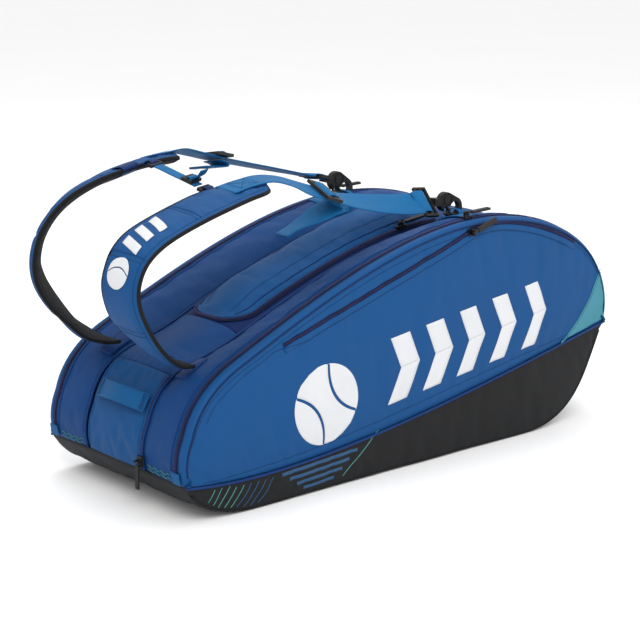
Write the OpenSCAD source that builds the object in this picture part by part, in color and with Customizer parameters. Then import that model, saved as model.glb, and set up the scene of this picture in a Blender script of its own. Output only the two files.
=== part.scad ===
// Racket tournament bag: three soft compartments side by side, two hinged side covers,
// a top pocket lid, a shoe compartment door, two padded shoulder straps with hooks, and
// a chest strap. Millimetres. +X runs from the tail end to the head end, +Y from the
// front cover to the rear cover, +Z up. The origin is the middle of the flat base.

/* [Bag] */
// Length from the tail end to the head end
body_length = 750; // [720:5:780]
// Height of the rim above the base
body_height = 312; // [300:2:324]
// Width over both side covers
body_width = 280; // [272:2:288]
// Width of the centre compartment between its two seams
centre_width = 120; // [112:2:124]
// Depth of the valley between two compartments
valley_depth = 20; // [16:1:24]

/* [Cloth] */
// Thickness of a padded side cover
cover_thickness = 6; // [5:0.5:8]
// Thickness of the body cloth with its foam
cloth = 3; // [2:0.5:3.5]
// Diameter of the piping cord
piping = 3; // [2:0.5:4]

/* [Shoulder straps] */
// Width of the strap pad
pad_width = 70; // [60:2:72]
// Thickness of the strap pad's foam
pad_thickness = 9; // [7:1:10]
// Width of the webbing
webbing_width = 38; // [34:1:40]
// Thickness of the webbing
webbing = 1.6; // [1.2:0.2:1.8]
// Distance of each strap from the middle of the bag
strap_y = 75; // [74:0.5:76]

/* [Zips] */
// Length of a slider body
slider_length = 13; // [11:1:14]
// Length of a puller
puller_length = 42; // [34:2:46]

/* [Hidden] */

half_width = body_width / 2;
seam_y = centre_width / 2;
kx = body_length / 750;
kz = body_height / 312;

// ---- curves -------------------------------------------------------------------------

// A point of the side outline, scaled to the bag's length and height
function p(x, z) = [x * kx, z * kz];
function bezier(a, b, c, d, n) = [for (i = [0:n]) let (t = i / n, u = 1 - t)
    u * u * u * a + 3 * u * u * t * b + 3 * u * t * t * c + t * t * t * d];
function without_first(list) = [for (i = [1:len(list) - 1]) list[i]];
function reversed(list) = [for (i = [len(list) - 1:-1:0]) list[i]];
function between(list, a, b) = [for (i = [a:b]) list[i]];
// 0 before a, 1 after b, and a smooth rise from one to the other
function ramp(x, a, b) = let (t = min(1, max(0, (x - a) / (b - a)))) t * t * (3 - 2 * t);

seam_tail = p(-372, 50);
seam_head = p(372, 137);
tail_top = p(-368, 108);
corner_top = p(-300, 184);
crown_start = p(120, 312);
crown_end = p(356, 218);

// The rim, clockwise from the tail end of the cover seam to its head end
rim = concat(
    bezier(seam_tail, p(-380, 70), p(-376, 92), tail_top, 5),
    without_first(bezier(tail_top, p(-360, 140), p(-336, 166), corner_top, 6)),
    without_first(bezier(corner_top, p(-180, 240), p(-20, 312), crown_start, 18)),
    without_first(bezier(crown_start, p(220, 312), p(318, 278), crown_end, 11)),
    without_first(bezier(crown_end, p(370, 196), p(380, 165), seam_head, 6)));
// Places along the rim, as positions in its list
RIM_END = len(rim) - 1;
DOOR_TOP = 9;
TAB_START = 9;
CORNER_TOP = 11;
LID_START = 14;
LID_END = 29;
PATCH_TOP = RIM_END - 6;

// The seam between the upper cloth and the dark lower cloth
SEAM_STEPS = 24;
seam = bezier(seam_tail, p(-200, 22), p(90, 78), seam_head, SEAM_STEPS);
// The lower outline, clockwise from the head end of the seam under the bag to its tail end
SEAM_DROP = [0, -0.8];
lower = concat(
    bezier(seam_head + SEAM_DROP, p(342, 72), p(322, 0), p(215, 0), 12),
    bezier(p(-265, 0), p(-330, 0), p(-360, 20), seam_tail + SEAM_DROP, 10));

function tangent(path, i) = let (
    v = path[min(i + 1, len(path) - 1)] - path[max(i - 1, 0)]) v / norm(v);
function inward(path, i) = let (t = tangent(path, i)) [t[1], -t[0]];
// The path moved inward by d, or by d[i] where d is a list
function inset(path, d) = [for (i = [0:len(path) - 1])
    path[i] + inward(path, i) * (is_list(d) ? d[i] : d)];

// How much of the valley's depth there is at place i: little at the tail, less at the head
function valley_share(i) =
    0.08 + 0.92 * ramp(i, 7, LID_START) - 0.4 * ramp(i, LID_END + 1, PATCH_TOP - 2);
function valley_depths(lift) = [for (i = [0:RIM_END]) valley_depth * valley_share(i) + lift];

// ---- shapes from curves -----------------------------------------------------------------

// An outline in the X-Z plane, thickened from y = a to y = b
module slab(a, b) {
    translate([0, b, 0]) rotate([90, 0, 0]) linear_extrude(b - a) children();
}

// The strip between a path inset by d0 and by d1
module strip(path, d0, d1) {
    polygon(concat(inset(path, d0), reversed(inset(path, d1))));
}

// A closed solid through rings that all have as many points. The two long sides of each
// ring are split along matching diagonals, so that a twisted sheet keeps its thickness.
module skin(rings) {
    m = len(rings[0]);
    n = len(rings);
    polyhedron(
        points = [for (r = rings) each r],
        faces = concat(
            [for (i = [0:n - 2]) for (j = [0:m - 1])
                let (k = (j + 1) % m, a = i * m + j, b = i * m + k, c = a + m, d = b + m)
                each j < m / 2 ? [[a, d, b], [a, c, d]] : [[a, c, b], [b, c, d]]],
            [[for (j = [0:m - 1]) j]],
            [[for (j = [m - 1:-1:0]) (n - 1) * m + j]]));
}

// Cloth over the top of the bag from place a to place b of the rim. rows holds [y, depth]
// pairs across it, as shares of the valley's depth; t is the cloth's thickness, lift moves
// it inward, and gap holds its two ends back from the places.
module top_cloth(a, b, rows, t, lift = 0, gap = 0) {
    skin([for (i = [b:-1:a]) let (
        n = inward(rim, i),
        c = rim[i] + tangent(rim, i) * (i == a ? gap : i == b ? -gap : 0),
        deep = valley_depth * valley_share(i))
        concat(
            [for (r = rows) let (q = c + n * (r[1] * deep + lift)) [q[0], r[0], q[1]]],
            [for (r = reversed(rows)) let (q = c + n * (r[1] * deep + lift + t))
                [q[0], r[0], q[1]]])]);
}

// A flat band w wide and t thick along a path of [x, y, z, twist, width share] points.
// Without twist its width lies along Y.
function along(path, i) = let (
    a = path[max(i - 1, 0)], b = path[min(i + 1, len(path) - 1)],
    v = [b[0] - a[0], b[1] - a[1], b[2] - a[2]]) v / norm(v);
function outward(path, i) = let (v = cross(along(path, i), [0, 1, 0])) v / norm(v);
module band(path, w, t) {
    skin([for (i = [0:len(path) - 1]) let (
        up = outward(path, i),
        flat = cross(up, along(path, i)),
        across = flat * cos(path[i][3]) + up * sin(path[i][3]),
        normal = cross(along(path, i), across) * t / 2,
        half = across * w / 2 * path[i][4],
        c = [path[i][0], path[i][1], path[i][2]])
        [c - half - normal, c + half - normal, c + half + normal, c - half + normal]]);
}

module mirrored() { mirror([0, 1, 0]) children(); }

// ---- lower body --------------------------------------------------------------------------

module base_panel() {
    color("#2b2b2b") slab(-half_width + 4, half_width - 4) strip(lower, 0, cloth);
}

module lower_panel() {
    slab(-half_width, -half_width + 4) polygon(concat(seam, without_first(lower)));
}
module front_lower_panel() { color("#2b2b2b") lower_panel(); }
module rear_lower_panel() { color("#2b2b2b") mirrored() lower_panel(); }

BOARD = 2;
module base_board() {
    color("#1c1c1c") translate([-240 * kx, -seam_y + 5, cloth])
        cube([445 * kx, centre_width - 10, BOARD]);
}

// ---- upper body --------------------------------------------------------------------------

ZIP_Y = -half_width + 16;       // outer edge of the gusset, where the zip is sewn on
GUSSET_ROWS = [[ZIP_Y, 0], [ZIP_Y + 18, 0.05], [ZIP_Y + 36, 0.27],
    [-seam_y - 14, 0.55], [-seam_y - 6, 0.84], [-seam_y, 1]];
module gusset() { top_cloth(0, RIM_END, GUSSET_ROWS, cloth); }
module front_gusset() { color("#1d4f9e") gusset(); }
module rear_gusset() { color("#1d4f9e") mirrored() gusset(); }

LID_Y = seam_y - 13;            // half the lid's width
CENTRE_EDGE = seam_y - 2;
LID_EDGE = 0.7;                 // depth of the lid's edge, as a share of the valley's
CROWN_ROWS = [[-CENTRE_EDGE, 1], [-LID_Y, LID_EDGE], [-24, 0.45], [24, 0.45],
    [LID_Y, LID_EDGE], [CENTRE_EDGE, 1]];
module crown_panel() {
    color("#1a4893") top_cloth(LID_END, RIM_END, CROWN_ROWS, cloth);
}
module tail_top_panel() {
    color("#1a4893") top_cloth(DOOR_TOP, LID_START, CROWN_ROWS, cloth);
}
SLOT = 6;                       // gap between the lid and the strip beside it
module side_strip() {
    top_cloth(LID_START, LID_END, [[-CENTRE_EDGE, 1], [-LID_Y - SLOT, 0.85]], cloth);
}
module pocket_side_strips() {
    color("#1a4893") {
        side_strip();
        mirrored() side_strip();
    }
}

module divider() {
    slab(-CENTRE_EDGE, -CENTRE_EDGE + 2)
        polygon(concat(inset(rim, valley_depths(cloth + 0.3)), without_first(inset(lower, cloth))));
}
module front_divider() { color("#33373d") divider(); }
module rear_divider() { color("#33373d") mirrored() divider(); }

// Roof and end wall of the shoe compartment, inside the tail half of the centre
module shoe_liner() {
    foot = cloth + BOARD;
    color("#33373d") slab(-seam_y + 5, seam_y - 5) polygon([
        p(-288, 162), p(-98, 152), [-98 * kx, foot], [-100 * kx, foot], p(-100, 150), p(-288, 160)]);
}

module seam_piping() {
    color("#173f86") for (s = [0, 1]) mirror([0, s, 0])
        slab(-half_width - piping / 2, -half_width) strip(seam, 0.2, piping);
}
module valley_piping() {
    color("#12306b") for (s = [0, 1]) mirror([0, s, 0])
        slab(-seam_y, -CENTRE_EDGE)
            strip(rim, valley_depths(-piping / 2), valley_depths(piping / 2));
}

// ---- zip chains ----------------------------------------------------------------------------

CHAIN_UP = 0.8;
CHAIN_DOWN = 1.6;
CHAIN_W = 3;
module main_zip() {
    slab(ZIP_Y - CHAIN_W, ZIP_Y)
        strip(between(rim, 1, RIM_END - 1), -CHAIN_UP, CHAIN_DOWN);
}
module front_zip_chain() { color("#2a2350") main_zip(); }
module rear_zip_chain() { color("#2a2350") mirrored() main_zip(); }
module top_zip_chain() {
    color("#2a2350") top_cloth(LID_START, LID_END,
        [[-LID_Y - SLOT + 0.4, 0.74], [-LID_Y - 0.6, 0.74]], 2);
}
module shoe_zip_chain() {
    color("#2a2350") slab(-CENTRE_EDGE, -CENTRE_EDGE + CHAIN_W - 0.6)
        strip(between(rim, 0, DOOR_TOP - 1), -CHAIN_UP, CHAIN_DOWN);
}

// ---- side covers -----------------------------------------------------------------------------

COVER_GAP = 1;
LINING = 1;
module side_cover() {
    slab(-half_width, -half_width + cover_thickness)
        polygon(concat(rim, reversed(inset(seam, -COVER_GAP))));
    slab(-half_width + cover_thickness, ZIP_Y - CHAIN_W - 0.4) strip(rim, 0, cloth);
}
module front_cover() { color("#1b539c") side_cover(); }
module rear_cover() { color("#1b539c") mirrored() side_cover(); }

module cover_lining() {
    edge = cloth + 1;
    slab(-half_width + cover_thickness, -half_width + cover_thickness + LINING)
        polygon(concat(between(inset(rim, edge), 1, RIM_END - 1),
            reversed(between(inset(seam, -edge), 1, SEAM_STEPS - 1))));
}
module front_cover_lining() { color("#8d9299") cover_lining(); }
module rear_cover_lining() { color("#8d9299") mirrored() cover_lining(); }

// The light panel sewn into the head end of each cover
PATCH = 0.8;
PATCH_FOOT = 20;
module corner_patch() {
    slab(-half_width - PATCH, -half_width) polygon(concat(
        between(inset(rim, 2.5), PATCH_TOP, RIM_END - 1),
        reversed(between(inset(seam, -COVER_GAP - 2), PATCH_FOOT, SEAM_STEPS - 1)),
        [p(308, 150), p(334, 180)]));
}
module front_corner_patch() { color("#5cc4bd") corner_patch(); }
module rear_corner_patch() { color("#5cc4bd") mirrored() corner_patch(); }

// The front pocket's zip: straight over most of its run, then beside the rim
pocket_zip_path = concat([p(-226, 198)], bezier(p(100, 301), p(140, 310), p(215, 301), p(300, 259), 8));
module front_pocket_zip() {
    color("#2a2350") slab(-half_width - 1.4, -half_width) strip(pocket_zip_path, -1.5, 1.5);
}
module front_pocket_flap() {
    color("#1b539c") slab(-half_width - PATCH, -half_width) strip(pocket_zip_path, 2, 10);
}

// ---- top lid, shoe door and tail handle ------------------------------------------------------

END_GAP = 0.6;
LID_ROWS = [[-LID_Y, LID_EDGE], [-40, 0.35], [-25, 0], [0, -0.15], [25, 0], [40, 0.35],
    [LID_Y, LID_EDGE]];
module top_lid() {
    color("#1f55a5") top_cloth(LID_START, LID_END, LID_ROWS, 5, gap = END_GAP);
}

DOOR_Y = seam_y - 5;
DOOR_ROWS = [[-DOOR_Y, 0.6], [-DOOR_Y + 14, 0.35], [DOOR_Y - 14, 0.35], [DOOR_Y, 0.6]];
module shoe_door() {
    color("#1d4f9e") top_cloth(0, DOOR_TOP, DOOR_ROWS, cloth, gap = END_GAP);
}

// A webbing handle that bows out from the shoe door
HANDLE_HALF = 40;
HANDLE_BOW = 9;
module tail_handle() {
    w = webbing_width * 0.6;
    color("#1d83b8") translate([-364 * kx, -7, 131.5 * kz]) rotate([0, 29, 0])
        skin([for (i = [-4:4]) let (y = i * HANDLE_HALF / 4, x = -2 - HANDLE_BOW * cos(i * 22))
            [[x, y, w / 2], [x, y, -w / 2], [x - webbing, y, -w / 2], [x - webbing, y, w / 2]]]);
}

// ---- shoulder straps ---------------------------------------------------------------------------

// Pad route: x, y from the strap's middle, z, twist in degrees, share of the full width
FRONT_PAD = [
    [-325, 0, 178, 0, 0.58], [-342, 0, 183.5, -6, 0.7], [-362, 0, 195, -8, 0.85],
    [-385, 0, 216, -6, 0.95], [-404, 0, 238, 0, 1], [-415, 0, 262, 0, 1], [-418, 0, 284, 0, 1],
    [-413, 0, 304, 0, 1], [-403, 0, 321, 2, 1], [-385, 0, 336, 4, 1], [-359, 0, 348, 4, 1],
    [-320, 0, 361, 4, 1], [-280, 0, 372, 4, 1], [-245, 0, 378.5, 2, 0.95], [-210, 0, 382, 0, 0.85]];
REAR_PAD = [
    [-325, 0, 178, 0, 0.58], [-346, 0, 185.5, -10, 0.7], [-376, 0, 202, -20, 0.85],
    [-403, 0, 231, -27, 1], [-423, 0, 257, -33, 1], [-434, 0, 285, -37, 1],
    [-430, 0, 314, -38, 1], [-417, 0, 337, -36, 1], [-397, 0, 356, -32, 1],
    [-370, 0, 371, -27, 1], [-336, 0, 383, -22, 1], [-297, 0, 392, -18, 1],
    [-261, 0, 397, -16, 0.95], [-231, 0, 398, -15, 0.85]];
// Webbing route from the top of the pad through the slide lock to the hook's frame
FRONT_WEBBING = [
    [-262, 0, 383.5, 3, 1], [-235, 0, 388.5, 2, 1], [-205, 0, 390, 4, 1], [-170, 0, 383, 12, 1],
    [-138, 0, 370.7, 20, 1], [-105, 0, 360, 20, 1], [-72, 0, 349.3, 20, 1], [-34, 5, 341, 27, 1],
    [0, 7, 335, 32, 1], [35, 9, 330, 35, 1], [58, 10, 328.3, 36, 1], [72, 10.6, 327.5, 36, 1]];
REAR_WEBBING = [
    [-276, 0, 405.5, -17, 1], [-248, 0, 408, -15, 1], [-220, 0, 407, -14, 1],
    [-190, 0, 399.5, -12, 1], [-160, 0, 391, -11, 1], [-125, 0, 382.3, -10, 1],
    [-80, -3, 371.5, -9, 1], [-40, -7, 362, -7, 1], [-20, -8.5, 357.2, -6, 1],
    [-8, -10, 354.3, -6, 1]];

module strap_pad(path) { color("#1c4c94") band(path, pad_width, pad_thickness); }
// The mesh that faces the wearer, laid against the pad's inner side
MESH = 3;
module strap_lining(path) {
    depth = pad_thickness / 2 + MESH / 2 + 0.6;
    laid = [for (i = [0:len(path) - 1]) let (
        up = outward(path, i), flat = cross(up, along(path, i)),
        n = up * cos(path[i][3]) - flat * sin(path[i][3]))
        [path[i][0] - n[0] * depth, path[i][1] - n[1] * depth, path[i][2] - n[2] * depth,
         path[i][3], path[i][4]]];
    color("#161616") band(laid, pad_width - 4, MESH);
}
module strap_webbing(path) { color("#1f7dc0") band(path, webbing_width, webbing); }
module at_front_strap() { translate([0, -strap_y, 0]) children(); }
module at_rear_strap() { translate([0, strap_y, 0]) children(); }
module front_strap_pad() { at_front_strap() strap_pad(FRONT_PAD); }
module rear_strap_pad() { at_rear_strap() strap_pad(REAR_PAD); }
module front_strap_lining() { at_front_strap() strap_lining(FRONT_PAD); }
module rear_strap_lining() { at_rear_strap() strap_lining(REAR_PAD); }
module front_strap_webbing() { at_front_strap() strap_webbing(FRONT_WEBBING); }
module rear_strap_webbing() { at_rear_strap() strap_webbing(REAR_WEBBING); }

// Cloth tabs over the gussets' tail corners, which hold the straps' lower ends
module strap_anchor_tabs() {
    rows = between(GUSSET_ROWS, 2, 4);
    color("#173f86") for (s = [0, 1]) mirror([0, s, 0])
        top_cloth(TAB_START, CORNER_TOP, rows, cloth, lift = -cloth);
}

// Slide lock: a frame with a middle bar, lying on the webbing
LOCK_L = 26;
LOCK_BAR = 5;
module lock_frame() {
    slot = (LOCK_L - LOCK_BAR) / 2 - 3;
    color("#191919") translate([0, 0, 4.2]) difference() {
        cube([LOCK_L, webbing_width + 10, 4], center = true);
        for (s = [-1, 1]) translate([s * (LOCK_BAR + slot) / 2, 0, 0])
            cube([slot, webbing_width + 1, 8], center = true);
    }
}
// The webbing's end: a wrap over the lock's middle bar, and a free tail that hangs below
module webbing_tail(start, length, fall, roll) {
    w = webbing_width - 2;
    color("#2487cb") {
        translate([-LOCK_BAR / 2 - 3, -w / 2, 6.6]) cube([LOCK_BAR + 6, w, webbing]);
        translate([start, 0, -9]) rotate([roll, fall, 0])
            translate([-length, -w / 2, -webbing]) cube([length, w, webbing]);
    }
}
module at_front_lock() {
    translate([-105, -strap_y, 360]) rotate([0, 18, 0]) rotate([20, 0, 0]) children();
}
module at_rear_lock() {
    translate([-160, strap_y, 391]) rotate([0, 14, 0]) rotate([-11, 0, 0]) children();
}
module front_lock_frame() { at_front_lock() lock_frame(); }
module rear_lock_frame() { at_rear_lock() lock_frame(); }
module front_webbing_tail() { at_front_lock() webbing_tail(24, 80, -46, 0); }
module rear_webbing_tail() { at_rear_lock() webbing_tail(10, 36, -8, 0); }

// ---- hooks -------------------------------------------------------------------------------------

// In a hook's own frame the webbing comes from -X, and the hook hangs in the X-Z plane.
// Swivel loop: a three-bar frame for the webbing, and a headed post that the hook turns on
LOOP_L = 22;
LOOP_BAR = 4;
LOOP_BACK = 11.5;               // middle of the frame, behind the hook
POST_R = 2.5;
POST_CLEAR = 0.06;
POST_L = 9;
HEAD_R = 4.5;
HEAD_L = 2.5;
module swivel_loop(roll) {
    slot = (LOOP_L - LOOP_BAR) / 2 - 3;
    color("#191919") {
        rotate([roll, 0, 0]) translate([-LOOP_BACK, 0, 0]) difference() {
            cube([LOOP_L, webbing_width + 8, 4], center = true);
            for (s = [-1, 1]) translate([s * (LOOP_BAR + slot) / 2, 0, 0])
                cube([slot, webbing_width + 1, 8], center = true);
        }
        translate([-2, 0, 0]) rotate([0, 90, 0]) cylinder(r = POST_R, h = POST_L + 2, $fn = 48);
        translate([POST_L, 0, 0]) rotate([0, 90, 0]) cylinder(r = HEAD_R, h = HEAD_L, $fn = 48);
    }
}

RING = [41, -8];                // middle of the hook's eye, x and z
RING_IN = 9;
RING_OUT = 14.5;
CHEEK = [25, 0];                // middle of the cheeks over the gate, x and z
CHEEK_R = 13;
CHEEK_HALF = 4.8;
THUMB_R = [6.4, 8];             // thumb ring sunk into each cheek
THUMB_D = 0.8;
HOOK_HALF = 4;                  // half the hook's thickness
GATE_PIN = [25, -4.3];          // x and z
GATE_PIN_R = 1;
module across_y(x, z, r, half) {
    translate([x, half, z]) rotate([90, 0, 0]) cylinder(r = r, h = 2 * half, $fn = 48);
}
// A disc centred on the cheek's face on side s, THUMB_D deep
module across_y_from(x, z, r, s) {
    translate([0, s * CHEEK_HALF, 0]) across_y(x, z, r, THUMB_D);
}
module hook() {
    color("#151515") difference() {
        union() {
            translate([1, -6.5, -5]) cube([13, 13, 10]);
            hull() {
                across_y(CHEEK[0], CHEEK[1], CHEEK_R, HOOK_HALF);
                across_y(RING[0], RING[1], RING_OUT, HOOK_HALF);
            }
            across_y(CHEEK[0], CHEEK[1], CHEEK_R - 1, CHEEK_HALF);
        }
        // bore for the post, and a window for its head
        rotate([0, 90, 0]) cylinder(r = POST_R + POST_CLEAR, h = POST_L + 1, $fn = 48);
        translate([POST_L - 0.5, -HEAD_R - 0.4, -6]) cube([HEAD_L + 1, 2 * HEAD_R + 0.8, 12]);
        // thumb rings
        for (s = [-1, 1]) difference() {
            across_y_from(CHEEK[0] + 1, CHEEK[1] + 3, THUMB_R[1], s);
            across_y_from(CHEEK[0] + 1, CHEEK[1] + 3, THUMB_R[0], s);
        }
        // eye, mouth, and the notch and bore for the gate
        across_y(RING[0], RING[1], RING_IN, 20);
        slab(-20, 20) polygon([[RING[0], RING[1] - 0.1], [RING[0] - 20, RING[1] - 10.6],
            [RING[0] - 20, RING[1] + 2], [RING[0] - 13, RING[1] + 2]]);
        translate([22.5, -3.2, -14]) cube([12, 6.4, 12]);
        across_y(GATE_PIN[0], GATE_PIN[1], GATE_PIN_R + POST_CLEAR, 20);
    }
}
// Gate: a sprung bar across the hook's mouth, turning on a pin in the notch's walls
GATE_TIP = [34.6, -11.6];
module hook_gate() {
    run = GATE_TIP - GATE_PIN;
    color("#202020") {
        across_y(GATE_PIN[0], GATE_PIN[1], 1.8, 3);
        across_y(GATE_PIN[0], GATE_PIN[1], GATE_PIN_R, HOOK_HALF);
        across_y(GATE_TIP[0], GATE_TIP[1], 1, 3);
        translate([GATE_PIN[0], -3, GATE_PIN[1]]) rotate([0, -atan2(run[1], run[0]), 0])
            translate([0, 0, -1]) cube([norm(run), 6, 2]);
    }
}
FRONT_HOOK = [97, -strap_y + 11, 326];
FRONT_HOOK_PITCH = 5;
FRONT_LOOP_ROLL = 46;
REAR_HOOK = [17, strap_y - 11, 349];
REAR_HOOK_PITCH = 14;
REAR_LOOP_ROLL = -6;
module at_front_hook() { translate(FRONT_HOOK) rotate([0, FRONT_HOOK_PITCH, 0]) children(); }
module at_rear_hook() { translate(REAR_HOOK) rotate([0, REAR_HOOK_PITCH, 0]) children(); }
module front_swivel_loop() { at_front_hook() swivel_loop(FRONT_LOOP_ROLL); }
module rear_swivel_loop() { at_rear_hook() swivel_loop(REAR_LOOP_ROLL); }
module front_hook() { at_front_hook() hook(); }
module rear_hook() { at_rear_hook() hook(); }
module front_hook_gate() { at_front_hook() hook_gate(); }
module rear_hook_gate() { at_rear_hook() hook_gate(); }

// Webbing loops in the valleys, which the hooks clip into: width, x, y, foot and top
ANCHOR_X = 3.5;                 // ahead of the eye's middle, so clear of the gate
ANCHOR_W = 8;
ANCHOR_HALF = 13;
module hook_anchor(at, pitch, foot) {
    eye = [at[0] + (RING[0] + ANCHOR_X) * cos(pitch) + RING[1] * sin(pitch),
           at[2] - (RING[0] + ANCHOR_X) * sin(pitch) + (RING[1] - 1) * cos(pitch)];
    top = eye[1] + webbing / 2;
    translate([eye[0] - ANCHOR_W / 2, at[1], foot]) rotate([90, 0, 90])
        linear_extrude(ANCHOR_W) difference() {
            translate([-ANCHOR_HALF, 0]) square([2 * ANCHOR_HALF, top - foot]);
            translate([-ANCHOR_HALF + webbing, -1])
                square([2 * (ANCHOR_HALF - webbing), top - foot - webbing + 1]);
        }
}
FRONT_FOOT = 304;
REAR_FOOT = 301;
module hook_anchors() {
    color("#173f86") {
        hook_anchor(FRONT_HOOK, FRONT_HOOK_PITCH, FRONT_FOOT * kz);
        hook_anchor(REAR_HOOK, REAR_HOOK_PITCH, REAR_FOOT * kz);
    }
}

// ---- chest strap -------------------------------------------------------------------------------

// The chest strap's own frame: X from the rear strap to the front strap
CHEST_REAR = [-285, 29, 400.5];
CHEST_FRONT = [-260, -27, 379];
CHEST_RUN = CHEST_FRONT - CHEST_REAR;
CHEST_L = norm(CHEST_RUN);
CHEST_W = 20;
module at_chest() {
    translate(CHEST_REAR) rotate([0, 0, atan2(CHEST_RUN[1], CHEST_RUN[0])])
        rotate([0, -asin(CHEST_RUN[2] / CHEST_L), 0]) children();
}
module chest_strap() {
    color("#1f7dc0") at_chest() translate([2, -CHEST_W / 2, -webbing / 2])
        cube([CHEST_L - 6, CHEST_W, webbing]);
}
module chest_adjuster() {
    color("#191919") at_chest() translate([CHEST_L - 16, 0, 3.4]) difference() {
        cube([14, CHEST_W + 8, 4], center = true);
        for (s = [-1, 1]) translate([s * 3.2, 0, 0]) cube([3.4, CHEST_W + 1, 8], center = true);
    }
}
// A glide on the strap's edge: a frame with a slot for the chest strap's end
module chest_glide() {
    color("#191919") difference() {
        cube([7, CHEST_W + 8, 4], center = true);
        cube([3, CHEST_W + 1, 8], center = true);
    }
}
module front_chest_glide() { at_chest() translate([CHEST_L + 4.5, 0, 0]) chest_glide(); }
module rear_chest_glide() { at_chest() translate([-3.2, 0, 0]) chest_glide(); }

// ---- zip sliders and pullers ---------------------------------------------------------------------

// In a slider's own frame the zip runs along X and Z points out of the cloth
BAIL_Z = 8.4;
BAIL_R = 1.2;
BAIL_CLEAR = 0.06;
SLIDER_UP = 1.6;                // clear height under the slider, over the cloth
module zip_slider() {
    color("#2b2b30") {
        translate([-slider_length / 2, -4.5, SLIDER_UP]) cube([slider_length, 9, 3]);
        for (s = [-1, 1]) translate([-1.6, s * 3.2 - 0.9, SLIDER_UP + 3])
            cube([3.2, 1.8, BAIL_Z - SLIDER_UP - 1.8]);
        translate([0, 2.5, BAIL_Z]) rotate([90, 0, 0]) cylinder(r = BAIL_R, h = 5, $fn = 48);
    }
}
module zip_puller() {
    color("#141414") difference() {
        union() {
            translate([0, 2, BAIL_Z]) rotate([90, 0, 0]) cylinder(r = 3, h = 4, $fn = 48);
            translate([0, -2, BAIL_Z - 1]) cube([10, 4, 2]);
            translate([8, -3.5, BAIL_Z - 1.6]) cube([puller_length - 8, 7, 3.2]);
        }
        translate([0, 3, BAIL_Z]) rotate([90, 0, 0])
            cylinder(r = BAIL_R + BAIL_CLEAR, h = 6, $fn = 48);
    }
}
// Over the crown the rim is a circle, which the sliders follow
CROWN = [120, -248];
CROWN_R = 560;
module on_crown(angle, y, depth) {
    translate([CROWN[0] * kx, y, CROWN[1] + body_height - 312])
        rotate([0, angle, 0]) translate([0, 0, CROWN_R - depth]) children();
}
MAIN_ANGLE = -2;
TOP_ANGLE = -7;
module at_front_slider() { on_crown(MAIN_ANGLE, ZIP_Y - CHAIN_W / 2, 0) children(); }
module at_top_slider() {
    on_crown(TOP_ANGLE, -LID_Y - 5.4, 0.74 * valley_depth) children();
}
module front_zip_slider() { at_front_slider() zip_slider(); }
module front_zip_puller() { at_front_slider() zip_puller(); }
module rear_zip_slider() { mirrored() at_front_slider() zip_slider(); }
module rear_zip_puller() { mirrored() at_front_slider() zip_puller(); }
module top_zip_slider() { at_top_slider() zip_slider(); }
module top_zip_puller() { at_top_slider() zip_puller(); }

// The pocket's slider lies on the front cover, at the top of its zip's straight run
POCKET_SLOPE = atan2(pocket_zip_path[1][1] - pocket_zip_path[0][1],
    pocket_zip_path[1][0] - pocket_zip_path[0][0]);
module at_pocket_slider() {
    translate([pocket_zip_path[1][0], -half_width, pocket_zip_path[1][1]])
        rotate([0, -POCKET_SLOPE, 0]) rotate([90, 0, 0]) translate([-8, 0, 0]) children();
}
module pocket_zip_slider() { at_pocket_slider() zip_slider(); }
module pocket_zip_puller() { at_pocket_slider() zip_puller(); }

// The shoe compartment's slider stands at the foot of its zip, with its puller hanging
module shoe_zip_slider() {
    translate([rim[1][0] - 1.4, -seam_y, rim[1][1] + 2]) rotate([0, -90, 0])
        rotate([0, 0, 180]) {
            zip_slider();
            color("#141414") translate([4, -3, BAIL_Z - 2.2]) cube([30, 6, 2.4]);
        }
}

base_panel();
front_lower_panel();
rear_lower_panel();
base_board();
front_gusset();
rear_gusset();
crown_panel();
pocket_side_strips();
tail_top_panel();
front_divider();
rear_divider();
shoe_liner();
seam_piping();
valley_piping();
front_zip_chain();
rear_zip_chain();
top_zip_chain();
shoe_zip_chain();
strap_anchor_tabs();
hook_anchors();
front_cover();
front_cover_lining();
front_corner_patch();
front_pocket_flap();
front_pocket_zip();
rear_cover();
rear_cover_lining();
rear_corner_patch();
top_lid();
shoe_door();
tail_handle();
front_strap_pad();
front_strap_lining();
front_strap_webbing();
front_chest_glide();
front_lock_frame();
front_webbing_tail();
front_swivel_loop();
front_hook();
front_hook_gate();
rear_strap_pad();
rear_strap_lining();
rear_strap_webbing();
rear_chest_glide();
rear_lock_frame();
rear_webbing_tail();
rear_swivel_loop();
rear_hook();
rear_hook_gate();
chest_strap();
chest_adjuster();
front_zip_slider();
front_zip_puller();
rear_zip_slider();
rear_zip_puller();
pocket_zip_slider();
pocket_zip_puller();
top_zip_slider();
top_zip_puller();
shoe_zip_slider();
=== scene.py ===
"""Racket tournament bag: soft goods, trims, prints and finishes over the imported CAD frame.

Metres, in the frame's axes: +X to the head end, -Y to the front cover, +Z up.
"""

import math

import bmesh
import bpy
import numpy as np
from mathutils import Matrix, Vector, noise
from mathutils.bvhtree import BVHTree


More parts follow.
